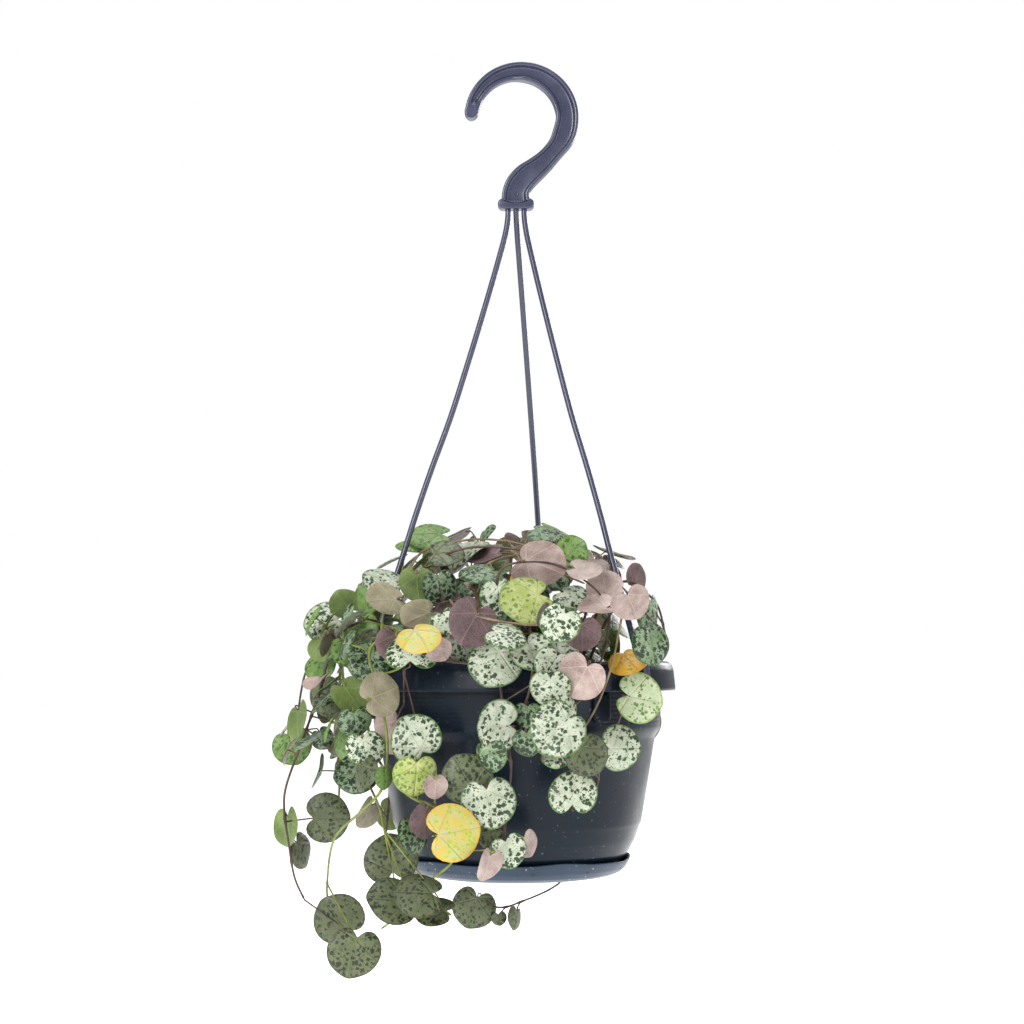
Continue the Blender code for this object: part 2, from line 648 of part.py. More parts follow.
def disc_gap(points, discs, radii=0.0):
    """The least distance from any point to any disc."""
    offset = points[:, None] - discs[None, :, :3]
    height = np.einsum("ijk,jk->ij", offset, discs[:, 3:6])
    flat = np.linalg.norm(offset - height[..., None] * discs[None, :, 3:6], axis=2)
    gap = np.hypot(np.maximum(flat - discs[:, 6], 0.0), height)
    return (gap - np.reshape(radii, (-1, 1))).min()


def outside_pot(points, margin):
    """True if no point is in the pot, the tray, the soil or the rim's wall."""
    x, y, z = points.T
    r = np.hypot(x, y)
    level = z - RIM_Z
    beside = (r > RIM_RADIUS + 0.9 + margin) | (level < -94.0 - margin)
    above = (level > 0.4 + margin) & (z > SOIL_TOP_Z + 2)
    inside = (r < 57.0 - margin) & (z > SOIL_TOP_Z + 2.2 + margin)
    return bool((beside | above | inside).all())


NOTCH_Y = -0.205


def leaf_outline(t):
    """A rounded heart of width 1 as t runs from its notch, at -pi, round the tip, at 0, and back."""
    x = 0.5 * np.sin(t)
    notch = np.exp(-(((np.abs(t) - math.pi) / 0.30) ** 2))
    tip = np.exp(-((t / 0.28) ** 2))
    y = 0.475 * np.cos(t) + 0.27 * notch + 0.03 * tip
    return x, y


def leaf_frame(tip, turn, tilt, flip):
    """The leaf's side, tip and normal directions. At 0, 0 it faces the camera."""
    a, b, c = math.radians(tip), math.radians(turn), math.radians(tilt)
    across = np.array([[math.cos(b), -math.sin(b), 0], [math.sin(b), math.cos(b), 0], [0, 0, 1]])
    lifted = np.array([[1, 0, 0], [0, math.cos(c), math.sin(c)], [0, -math.sin(c), math.cos(c)]])
    both = across @ lifted
    ahead = both @ np.array([math.cos(a), 0.0, math.sin(a)])
    normal = both @ np.array([0.0, -1.0, 0.0]) * (-1 if flip else 1)
    return np.cross(ahead, normal), ahead, normal


def leaf_surface(leaf, x, y):
    """The blade's middle surface: a shallow dome that falls away towards the edge."""
    drop = -BLADE_CUP * 4 * (x**2 + y**2)
    size = leaf["size"]
    return (
        leaf["centre"]
        + np.outer(x * size, leaf["side"])
        + np.outer(y * size, leaf["ahead"])
        + np.outer(drop * size, leaf["normal"])
    )


SAMPLE_T = np.linspace(-math.pi, math.pi, 16, endpoint=False)


def make_leaf(centre, size, tip, turn, tilt, flip, round_by=0.0):
    side, ahead, normal = leaf_frame(tip, turn, tilt, flip)
    if round_by:
        cos, sin = math.cos(round_by), math.sin(round_by)
        spin = np.array([[cos, -sin, 0], [sin, cos, 0], [0, 0, 1]])
        side, ahead, normal = spin @ side, spin @ ahead, spin @ normal
    leaf = {"centre": np.asarray(centre, float), "size": size, "side": side, "ahead": ahead, "normal": normal}
    leaf["reach"] = 0.5 * size
    x, y = leaf_outline(SAMPLE_T)
    grid = [leaf_surface(leaf, x * k, y * k) for k in (1.0, 0.6)]
    leaf["samples"] = np.vstack([*grid, leaf_surface(leaf, np.zeros(1), np.zeros(1))])
    leaf["root"] = leaf_surface(leaf, np.zeros(1), np.array([NOTCH_Y]))[0]
    return leaf


def stalk_line(leaf, stem, shift):
    """From the stem to the notch. A stalk that would fold back over its blade leaves the notch straight."""
    gaps = np.linalg.norm(stem - leaf["root"], axis=1)
    nearest = int(np.argmin(np.abs(gaps - BEST_STALK) + 0.4 * gaps))
    start = stem[min(len(stem) - 1, max(0, nearest + shift))]
    line = [start, leaf["root"]]
    way = (start - leaf["root"]) / max(np.linalg.norm(start - leaf["root"]), 0.1)
    if np.dot(way, leaf["ahead"]) > -0.45:
        line.insert(1, leaf["root"] - leaf["ahead"] * 2.4 - leaf["normal"] * 1.2)
    return np.array(line)


def line_samples(line, spacing=1.5):
    parts = []
    for a, b in zip(line[:-1], line[1:]):
        count = max(1, int(np.linalg.norm(b - a) / spacing))
        parts.append(a + (b - a) * (np.arange(count)[:, None] / count))
    return np.vstack([*parts, line[-1:]])


def try_leaf(crowd, vine, leaf, stem):
    """Adds the leaf and its stalk to the vine if both are clear of everything else."""
    if not outside_pot(leaf["samples"], 0.8):
        return False
    for shift in (0, -4, 4, -8):
        stalk = stalk_line(leaf, stem, shift)
        near = np.linalg.norm(crowd.dots[:, :3] - stalk[0], axis=1) < 6.0
        if not crowd.leaf_clear(leaf, vine["number"], near):
            continue
        dots = line_samples(stalk)
        if not outside_pot(dots, 0.6) or not crowd.line_clear(dots[:-1], STALK_RADIUS, vine["number"], 1.0):
            continue
        leaf["stalk"] = stalk
        vine["leaves"].append(leaf)
        crowd.add_leaf(leaf)
        crowd.add_line(dots[:-1], STALK_RADIUS, vine["number"])
        return True
    return False


def rooted(points, draw):
    """Puts the stem's root in the soil, under and behind the first point, with an arch between them."""
    first = points[0]
    angle = math.atan2(first[1], first[0])
    reach = min(47.0, max(12.0, math.hypot(first[0], first[1]) * 0.62))
    angle += draw.uniform(-0.12, 0.12)
    root = np.array([reach * math.cos(angle), reach * math.sin(angle), SOIL_TOP_Z - ROOT_DEPTH])
    rise = root + (0, 0, ROOT_DEPTH + 5.0)
    lift = (rise + first) / 2 + (0, 0, 0.28 * np.linalg.norm(first - rise))
    return np.vstack([root, root + (0, 0, ROOT_DEPTH * 0.6), root + (0, 0, ROOT_DEPTH + 2.0), rise, lift, points])


def settle_stem(crowd, number, points, draw):
    """Moves a stem in small steps until it is clear of the others."""
    for attempt in range(TRIES):
        shift = np.zeros(3)
        if attempt:
            reach = 1 + 0.25 * attempt
            shift = np.array([draw.uniform(-1, 1), draw.uniform(-1, 1), draw.uniform(-0.3, 0.6)]) * reach
        line = rooted(points + shift, draw)
        path = spline(line, 1.5)
        if outside_pot(path[9:], STEM_RADIUS) and crowd.line_clear(path, STEM_RADIUS, number, 1.5):
            crowd.add_line(path, STEM_RADIUS, number)
            return {"number": number, "path": path, "leaves": [], "root": line[0]}
    return None


def dress_from_photo(crowd, vines, vine, draw):
    """Each listed leaf goes on its own stem, or on a near one where its own has no clear way to it."""
    for px, py, width, tip, turn, tilt, out in vine["listed"]:
        place = spot(px, py, out)
        near = [other for other in vines if np.linalg.norm(other["path"] - place, axis=1).min() < NEAR_STEM]
        for carrier in [vine] + [other for other in near if other is not vine]:
            if settle_leaf(crowd, carrier, (px, py, out), (abs(width), tip, turn, tilt, width < 0), draw):
                break


def settle_leaf(crowd, vine, place, shape, draw):
    """Moves a leaf along the line of sight, and turns it a little, until it is clear of the others."""
    px, py, out = place
    size, tip, turn, tilt, flip = shape
    for attempt in range(TRIES):
        step = (attempt + 1) // 2 * (1 if attempt % 2 else -1)
        loose = min(attempt, 20)
        leaf = make_leaf(
            spot(px, py, out + step * 0.8), size, tip,
            turn + draw.uniform(-1, 1) * loose, tilt + draw.uniform(-1, 1) * loose, flip,
        )
        if try_leaf(crowd, vine, leaf, vine["path"][8:]):
            return True
    return False


def dress_by_rule(crowd, vine, draw):
    """Pairs of leaves along the stem, on alternate sides, facing outwards."""
    stem = vine["path"]
    first, spacing, last, upright = vine["rule"]
    for at in range(first, min(last, len(stem)), spacing):
        for side in (-1, 1):
            for attempt in range(TRIES // 3):
                node = stem[at]
                angle = math.atan2(node[1], node[0])
                away = np.array([math.cos(angle), math.sin(angle), 0.0])
                across = np.array([-away[1], away[0], 0.0])
                size = draw.uniform(14.5, 20.5)
                centre = (
                    node
                    + across * side * draw.uniform(7, 14)
                    + away * draw.uniform(1, 8)
                    + np.array([0, 0, draw.uniform(-10, 3) if upright < 30 else draw.uniform(-2, 9)])
                )
                leaf = make_leaf(
                    centre, size, -90 + side * draw.uniform(15, 95), side * draw.uniform(-10, 38),
                    upright + draw.uniform(-22, 22), draw.random() < 0.22, angle + math.pi / 2,
                )
                if try_leaf(crowd, vine, leaf, stem):
                    break


def crown_points(degrees, draw):
    """A stem that rises from the soil and arches outwards just under the dome."""
    angle = math.radians(degrees)
    swing = draw.uniform(0.4, 0.7) * draw.choice((-1, 1))
    points = []
    for k in range(5):
        reach = 14 + 10.0 * k
        height = 0.80 * DOME_HEIGHT * math.sqrt(1 - (reach / 72) ** 2)
        at = angle + swing * (k / 4) ** 1.3
        points.append((reach * math.cos(at), reach * math.sin(at), RIM_Z + height))
    return np.array(points)


def hanging_points(degrees, drop, draw):
    """A stem that comes over the rim and hangs down beside the pot."""
    angle = math.radians(degrees)
    points = []
    for reach, height in ((56, 15), (67, 9), (71.5, -3), (72, -16)):
        points.append((reach * math.cos(angle), reach * math.sin(angle), RIM_Z + height))
    steps = max(1, int(drop / 20))
    for k in range(steps):
        angle += draw.uniform(-0.06, 0.06)
        reach = 71.5 + draw.uniform(0, 2.5)
        z = RIM_Z - 16 - (drop - 16) * (k + 1) / steps
        points.append((reach * math.cos(angle), reach * math.sin(angle), z))
    return np.array(points)


def lay_out_vines():
    draw = random.Random(SEED)
    crowd = Crowd()
    for k in range(3):
        crowd.add_line(strand_path(k, 1.5), TAB_HALF_WIDTH, -1)
    vines = []
    wanted = [([spot(*p) for p in stem], {"listed": leaves}) for stem, leaves in PHOTO_VINES]
    wanted[-1][1]["rule"] = BEHIND_RULE
    wanted += [(crown_points(degrees, draw), {"rule": CROWN_RULE}) for degrees in CROWN_AT]
    wanted += [
        (hanging_points(degrees, drop, draw), {"rule": HANGING_RULE})
        for degrees, drop in zip(HANGING_AT, HANGING_DROPS)
    ]
    for points, dress in wanted:
        vine = settle_stem(crowd, len(vines), np.array(points), draw)
        if vine is not None:
            vines.append({**vine, **dress})
    for vine in vines:
        if "listed" in vine:
            dress_from_photo(crowd, vines, vine, draw)
    for vine in vines:
        if "rule" in vine:
            dress_by_rule(crowd, vine, draw)
    return [vine for vine in vines if vine["leaves"]]


# Blade corners: few, but each lobe, the notch and the tip has its own
BLADE_T = np.array([-2.62, -1.78, -0.9, 0.0, 0.9, 1.78, 2.62])
NOTCH_HALF = 0.45


def leaf_mesh(leaf, anchor):
    """The blade, and the stalk drawn out of the wall of its notch and into the stem at the anchor."""
    x, y = leaf_outline(BLADE_T)
    half = NOTCH_HALF / leaf["size"]
    upper = leaf_surface(
        leaf, np.concatenate([[-half], x, [half, 0.0]]), np.concatenate([[NOTCH_Y], y, [NOTCH_Y, 0.0]])
    )
    lower = leaf_surface(leaf, np.concatenate([x, [0.0, 0.0]]), np.concatenate([y, [NOTCH_Y, 0.0]]))
    lift = leaf["normal"] * BLADE_THICK / 2
    points = [*(upper + lift), *(lower - lift)]
    count = len(BLADE_T) + 2
    notch = 2 * count - 1
    low = [notch, *range(count + 1, notch), notch]
    faces = [(count, (k + 1) % count, k) for k in range(count)]
    for k in range(count - 1):
        faces.append((2 * count, low[k], low[k + 1]))
        faces += [(k, k + 1, low[k + 1]), (k, low[k + 1], low[k])]
    ring = [count - 1, 0, notch]
    line = [leaf["root"], *leaf["stalk"][-2:0:-1], anchor]
    ways = [(b - a) / np.linalg.norm(b - a) for a, b in zip(line[:-1], line[1:])]
    up = leaf["normal"]
    for place, before, after in zip(line[1:], ways, [*ways[1:], ways[-1]]):
        way = (before + after) / np.linalg.norm(before + after)
        up = up - way * np.dot(up, way)
        up = up / np.linalg.norm(up)
        side = np.cross(up, way)
        slim = 0.5 if place is anchor else 1.0
        first = len(points)
        for s, u in ((1, 1), (-1, 1), (0, -1)):
            points.append(place + side * s * NOTCH_HALF * slim + up * u * BLADE_THICK / 2 * slim)
        new = [first, first + 1, first + 2]
        for k in range(3):
            n = (k + 1) % 3
            faces += [(ring[k], ring[n], new[n]), (ring[k], new[n], new[k])]
        ring = new
    faces.append(tuple(ring))
    return points, faces


def thinned(path, allowed):
    """The fewest of the path's points that keep it within the allowed distance."""
    if len(path) < 3:
        return path
    along = path[-1] - path[0]
    along = along / np.linalg.norm(along)
    offset = path - path[0]
    away = np.linalg.norm(offset - np.outer(offset @ along, along), axis=1)
    worst = int(np.argmax(away))
    if away[worst] < allowed:
        return path[[0, -1]]
    return np.vstack([thinned(path[: worst + 1], allowed)[:-1], thinned(path[worst:], allowed)])


def nearest_on(line, point):
    """The nearest place to a point on a line of straight runs."""
    best = None
    for a, b in zip(line[:-1], line[1:]):
        share = min(0.93, max(0.07, np.dot(point - a, b - a) / np.dot(b - a, b - a)))
        place = a + (b - a) * share
        if best is None or np.linalg.norm(place - point) < np.linalg.norm(best - point):
            best = place
    return best


def drop_scraps(obj):
    """Keeps the largest piece of a mesh, because a union can leave slivers beside it."""
    work = bmesh.new()
    work.from_mesh(obj.data)
    left = set(work.verts)
    pieces = []
    while left:
        piece, edge = set(), [left.pop()]
        while edge:
            vert = edge.pop()
            piece.add(vert)
            fresh = {e.other_vert(vert) for e in vert.link_edges} & left
            left -= fresh
            edge.extend(fresh)
        pieces.append(piece)
    pieces.sort(key=len)
    bmesh.ops.delete(work, geom=[vert for piece in pieces[:-1] for vert in piece], context="VERTS")
    work.to_mesh(obj.data)
    work.free()


def build_vine(name, vine, material):
    """The stem, its leaf stalks and its leaves, joined into one solid."""
    path = thinned(vine["path"], STEM_EASE)
    stem = make_object(name, *tube_mesh(path, [STEM_RADIUS] * len(path), 3), material)
    turn_outwards(stem)
    parts = []
    for leaf in vine["leaves"]:
        part = make_object("part", *leaf_mesh(leaf, nearest_on(path, leaf["stalk"][0])), material)
        turn_outwards(part)
        parts.append(part)
    apply_boolean(stem, "UNION", parts, "MANIFOLD")
    drop_scraps(stem)


def main():
    for obj in list(bpy.data.objects):
        bpy.data.objects.remove(obj)
    build_pot()
    build_tray()
    build_hanger()
    vines = lay_out_vines()
    build_soil([vine["root"] for vine in vines])
    foliage = make_material("leaf_and_stem", (0.20, 0.27, 0.14), 0.5)
    for k, vine in enumerate(vines):
        build_vine(f"vine_{k + 1:02d}", vine, foliage)


main()
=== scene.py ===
# String of hearts in a hanging pot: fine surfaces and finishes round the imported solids.
# Lengths are in millimetres until a mesh is made. The origin is the hook's seat, and the front faces -Y.
import math
import random
from functools import partial

import bpy
import numpy as np
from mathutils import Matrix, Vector


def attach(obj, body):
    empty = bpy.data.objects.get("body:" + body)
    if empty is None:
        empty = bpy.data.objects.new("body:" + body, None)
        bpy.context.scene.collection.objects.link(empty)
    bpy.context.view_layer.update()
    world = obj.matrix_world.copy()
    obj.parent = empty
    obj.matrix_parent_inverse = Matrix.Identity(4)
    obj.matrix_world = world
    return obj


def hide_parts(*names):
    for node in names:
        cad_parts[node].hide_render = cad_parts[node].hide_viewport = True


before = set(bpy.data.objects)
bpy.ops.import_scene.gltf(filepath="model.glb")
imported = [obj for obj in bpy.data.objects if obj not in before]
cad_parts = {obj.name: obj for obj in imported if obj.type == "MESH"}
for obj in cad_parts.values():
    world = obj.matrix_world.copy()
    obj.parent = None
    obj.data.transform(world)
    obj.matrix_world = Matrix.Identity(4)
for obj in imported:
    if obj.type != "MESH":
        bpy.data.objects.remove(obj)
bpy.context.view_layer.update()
print("frame loaded,", len(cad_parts), "nodes")


# sizes that part.py has too

potSizes = {
    "rimZ": -247.4,
    "potHeight": 85.6,
    "rimRadius": 66.6,
    "earHalfAngle": 33.0,
    "earStep": 0.9,
    "gap": 0.3,
}

hangerSizes = {
    "strandAt": (199.0, -41.0, 78.0),
    "strandRadius": 1.2,
    "tabHalfWidth": 2.1,
    "tabHalfThick": 0.75,
    "strandLine": (
        (-53.4, 0.0), (-58.0, 0.3), (-66.0, 2.4), (-77.5, 6.6), (-90.0, 11.2), (-101.5, 15.4), (-125.0, 23.9),
        (-146.7, 31.6), (-168.3, 39.3), (-187.8, 45.7), (-203.3, 50.3), (-215.0, 53.9), (-230.7, 58.8),
        (-240.4, 61.9), (-244.4, 63.7), (-246.0, 65.2), (-247.6, 66.6), (-250.4, 67.5), (-254.6, 67.9),
        (-258.4, 68.0), (-260.4, 67.4), (-261.2, 65.8),
    ),
    "strandStartX": (-4.1, 3.3, -0.4),
    "tabFromZ": -242.0,
}

photoView = {
    "focalPx": 2000.0,
    "centrePx": 512.0,
    "cameraX": -2.1,
    "cameraAway": 840.0,
    "cameraZ": -245.3,
    "cameraTanUp": 0.072,
}

foliage = {
    "seed": 41,
    "bladeCup": 0.05,
    "stemRadius": 0.95,
    "stalkRadius": 0.5,
    "soilTopZ": potSizes["rimZ"] - 6.5,
    "rootDepth": 8.0,
    "hangRadius": 68.6,
    "domeHeight": 58.0,
    "tries": 60,
    "leafClear": 1.5,
    "bestStalk": 5.0,
    "nearStem": 22.0,
    "notchY": -0.205,
    "crownAt": (-14, 28, 64, 100, 136, 172, 208, -100),
    "hangingAt": (50, 92, 108, 124, 140, 156, 172),
    "hangingDrops": (40, 66, 92, 44, 78, 34, 60),
    "crownRule": (16, 16, 90, 58),
    "hangingRule": (26, 16, 120, 8),
    "behindRule": (26, 16, 80, 8),
}

# small tools


def colour(hexText):
    # each sRGB channel c becomes ((c + 0.055) / 1.055) to the power 2.4, or c / 12.92 near black
    channels = [int(hexText[i : i + 2], 16) / 255 for i in (1, 3, 5)]
    return (*[((c + 0.055) / 1.055) ** 2.4 if c > 0.04045 else c / 12.92 for c in channels], 1.0)


def addNode(tree, kind, inputs, out=0, **settings):
    # one shader node with its settings; an input is a plain value or another node's output
    # gives the output that `out` names, or all of them where it is None
    node = tree.nodes.new("ShaderNode" + kind)
    for name, value in settings.items():
        setattr(node, name, value)
    for key, value in inputs.items():
        if isinstance(value, bpy.types.NodeSocket):
            tree.links.new(value, node.inputs[key])
        else:
            node.inputs[key].default_value = value
    return node.outputs if out is None else node.outputs[out]


def startMaterial(name, finish):
    # finish holds the Principled shader's constant sockets; `add` is addNode for this material's tree
    material = bpy.data.materials.new(name)
    material.use_nodes = True
    for key, value in finish.items():
        material.node_tree.nodes["Principled BSDF"].inputs[key].default_value = value
    return material, partial(addNode, material.node_tree)


def joined(material, outputs):
    # links each output to the Principled shader's socket of that name
    tree = material.node_tree
    for key, output in outputs.items():
        tree.links.new(output, tree.nodes["Principled BSDF"].inputs[key])
    return material


def outward(points, quads, tris):
    # the signed volume is the sum of a . (b x c) / 6 over the triangles; where it is negative, all faces turn
    flat = np.vstack([quads[:, [0, 1, 2]], quads[:, [0, 2, 3]], tris]) if len(quads) else tris
    a, b, c = points[flat[:, 0]], points[flat[:, 1]], points[flat[:, 2]]
    if np.einsum("ij,ij->", a, np.cross(b, c)) < 0:
        return quads[:, ::-1], tris[:, ::-1]
    return quads, tris


def shell(points, quads, tris, slotOf=0, **attributes):
    # one closed surface; slotOf is its material slot, or two arrays: one for the quads and one for the tris
    points = np.asarray(points, float).reshape(-1, 3)
    quads = np.asarray(quads, int).reshape(-1, 4)
    tris = np.asarray(tris, int).reshape(-1, 3)
    quads, tris = outward(points - points.mean(0), quads, tris)
    if np.isscalar(slotOf):
        slotOf = (np.full(len(quads), slotOf), np.full(len(tris), slotOf))
    return {"points": points, "quads": quads, "tris": tris, "slots": slotOf, "attributes": attributes}


def makePiece(name, shells, materials, replaced=(), sharpDegrees=50.0):
    # puts the shells, one after another, into one mesh in metres
    shift = np.cumsum([0] + [len(s["points"]) for s in shells])
    points = np.vstack([s["points"] for s in shells]) * 0.001
    quads = np.vstack([s["quads"] + k for s, k in zip(shells, shift)])
    tris = np.vstack([s["tris"] + k for s, k in zip(shells, shift)])
    slots = np.concatenate([s["slots"][0] for s in shells] + [s["slots"][1] for s in shells])
    mesh = bpy.data.meshes.new(name)
    mesh.vertices.add(len(points))
    mesh.vertices.foreach_set("co", points.astype(np.float32).ravel())
    mesh.loops.add(quads.size + tris.size)
    mesh.loops.foreach_set("vertex_index", np.concatenate([quads.ravel(), tris.ravel()]).astype(np.int32))
    mesh.polygons.add(len(quads) + len(tris))
    starts = np.concatenate([np.arange(len(quads)) * 4, quads.size + np.arange(len(tris)) * 3])
    mesh.polygons.foreach_set("loop_start", starts.astype(np.int32))
    mesh.polygons.foreach_set("material_index", slots.astype(np.int32))
    mesh.update(calc_edges=True)
    for key in shells[0]["attributes"]:
        values = np.concatenate([np.asarray(s["attributes"][key], float) for s in shells])
        kind = "FLOAT_VECTOR" if values.ndim == 2 else "FLOAT"
        store = mesh.attributes.new(key, kind, "POINT")
        store.data.foreach_set("vector" if values.ndim == 2 else "value", values.astype(np.float32).ravel())
    for material in materials:
        mesh.materials.append(material)
    mesh.shade_smooth()
    mesh.set_sharp_from_angle(angle=math.radians(sharpDegrees))
    piece = bpy.data.objects.new(name, mesh)
    bpy.context.scene.collection.objects.link(piece)
    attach(piece, "root")
    if replaced:
        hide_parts(*replaced)


def gridFaces(rows, columns, closed):
    # quads between neighbouring rows of a grid; closed joins the last column to the first
    r, c = np.meshgrid(np.arange(rows - 1), np.arange(columns if closed else columns - 1), indexing="ij")
    n = (c + 1) % columns
    corners = [r * columns + c, r * columns + n, (r + 1) * columns + n, (r + 1) * columns + c]
    return np.stack(corners, -1).reshape(-1, 4)


def fan(ring, middle):
    # triangles from each neighbouring pair on the ring to one middle point
    return np.stack([ring, np.roll(ring, -1), np.full(len(ring), middle)], -1)


def loft(rings):
    # a surface through equal rings, shape (rings, points, 3), closed by a fan to each end's middle
    rows, columns = rings.shape[:2]
    points = np.vstack([rings.reshape(-1, 3), rings[0].mean(0), rings[-1].mean(0)])
    last = rows * columns
    tris = np.vstack([fan(np.arange(columns), last)[:, ::-1], fan(np.arange(last - columns, last), last + 1)])
    return shell(points, gridFaces(rows, columns, True), tris)


def tube(path, radii, sides):
    # rings of the given radii on a path; their directions come from the path's own flattest plane
    ways = np.gradient(path, axis=0)
    ways /= np.linalg.norm(ways, axis=1)[:, None]
    across = np.cross(ways, np.linalg.svd(ways)[2][-1])
    across /= np.linalg.norm(across, axis=1)[:, None]
    up = np.cross(across, ways)
    angle = 2 * math.pi * np.arange(sides) / sides
    spread = across[:, None] * np.cos(angle)[None, :, None] + up[:, None] * np.sin(angle)[None, :, None]
    return loft(path[:, None] + spread * np.asarray(radii)[:, None, None])


def rounded(corners, radius, per, closed=False):
    # each corner of an outline becomes a curve of `per` points: (1-q)^2 a + 2q(1-q) corner + q^2 b
    before = np.roll(corners, 1, axis=-2) - corners
    after = np.roll(corners, -1, axis=-2) - corners
    reach = [np.linalg.norm(v, axis=-1, keepdims=True) for v in (before, after)]
    a = corners + before * np.minimum(radius / np.maximum(reach[0], 1e-9), 0.45)
    b = corners + after * np.minimum(radius / np.maximum(reach[1], 1e-9), 0.45)
    if not closed:
        a[..., [0, -1], :] = b[..., [0, -1], :] = corners[..., [0, -1], :]
    q = np.linspace(0, 1, per)[:, None]
    curve = (1 - q) ** 2 * a[..., None, :] + 2 * q * (1 - q) * corners[..., None, :] + q**2 * b[..., None, :]
    curve = curve.reshape(*corners.shape[:-2], -1, corners.shape[-1])
    return curve if closed else curve[..., per - 1 : curve.shape[-2] - per + 1, :]


def turned(profile, steps, widen=None, raiseBy=None):
    # a profile of (radius, height) from axis to axis, turned about Z; widen and raiseBy add to each
    angle = 2 * math.pi * np.arange(steps) / steps
    r, z = profile[1:-1, 0][:, None], profile[1:-1, 1][:, None]
    radius = r + (widen(r, z, angle) if widen else 0)
    height = z + (raiseBy(r, z, angle) if raiseBy else 0) + angle * 0
    rings = np.stack([radius * np.cos(angle), radius * np.sin(angle), height], -1)
    rows = len(rings)
    points = np.vstack([rings.reshape(-1, 3), [[0, 0, profile[0, 1]], [0, 0, profile[-1, 1]]]])
    last = rows * steps
    tris = np.vstack([fan(np.arange(steps), last)[:, ::-1], fan(np.arange(last - steps, last), last + 1)])
    return shell(points, gridFaces(rows, steps, True), tris)


def divided(outline, spacing):
    # the same line with more points, at about the given spacing
    parts = []
    for a, b in zip(outline[:-1], outline[1:]):
        count = max(1, int(np.linalg.norm(b - a) / spacing))
        parts.append(a + (b - a) * (np.arange(count)[:, None] / count))
    return np.vstack([*parts, outline[-1:]])


def placedAt(points, degrees):
    # turns (outwards, along the rim, up) to its place round the pot
    cos, sin = math.cos(math.radians(degrees)), math.sin(math.radians(degrees))
    x, y, z = np.asarray(points, float).T
    return np.stack([x * cos - y * sin, x * sin + y * cos, z], -1)


# foliage layout: part.py's own rules, with the same draws in the same order


def spline(points, spacing):
    # a Catmull-Rom curve through the points, read off at about the given spacing
    p = np.asarray(points, float)
    ends = np.vstack([2 * p[0] - p[1], p, 2 * p[-1] - p[-2]])
    pieces = []
    for i in range(len(p) - 1):
        a, b, c, d = ends[i : i + 4]
        count = max(2, int(round(np.linalg.norm(c - b) / 0.5)))
        t = np.arange(count)[:, None] / count
        pieces.append(
            0.5 * (2 * b + (c - a) * t + (2 * a - 5 * b + 4 * c - d) * t**2 + (3 * b - a - 3 * c + d) * t**3)
        )
    fine = np.vstack([*pieces, p[-1:]])
    along = np.concatenate([[0], np.cumsum(np.linalg.norm(np.diff(fine, axis=0), axis=1))])
    count = max(3, int(round(along[-1] / spacing)) + 1)
    wanted = np.linspace(0, along[-1], count)
    return np.stack([np.interp(wanted, along, fine[:, k]) for k in range(fine.shape[1])], axis=1)


def strandPath(number, spacing):
    # the strand runs from the bar out to the rim, over it, and down as a tab to a hook under the skirt
    angle = math.radians(hangerSizes["strandAt"][number])
    line = []
    for z, reach in hangerSizes["strandLine"]:
        start = hangerSizes["strandStartX"][number] * max(0.0, 1 - reach / 30)
        line.append((start + reach * math.cos(angle), reach * math.sin(angle), z))
    return spline(line, spacing)


def envelope(z):
    # how far out the foliage reaches: one radius below the rim, and an ellipse above it
    above = z - potSizes["rimZ"]
    if above <= 0:
        return foliage["hangRadius"]
    return foliage["hangRadius"] * math.sqrt(max(0.04, 1 - (above / foliage["domeHeight"]) ** 2))


def spot(px, py, out):
    # a point of the photograph, followed along its line of sight until y is -sqrt(envelope^2 - x^2) - out
    cos = 1 / math.hypot(1, photoView["cameraTanUp"])
    sin = photoView["cameraTanUp"] * cos
    across = (px - photoView["centrePx"]) / photoView["focalPx"]
    up = (photoView["centrePx"] - py) / photoView["focalPx"]
    y = -40.0
    for step in range(12):
        reach = (photoView["cameraAway"] + y) / (cos - up * sin)
        x = photoView["cameraX"] + across * reach
        z = photoView["cameraZ"] + (sin + up * cos) * reach
        y = -math.sqrt(max(envelope(z) ** 2 - x * x, 0.0)) - out
    return np.array([x, y, z])


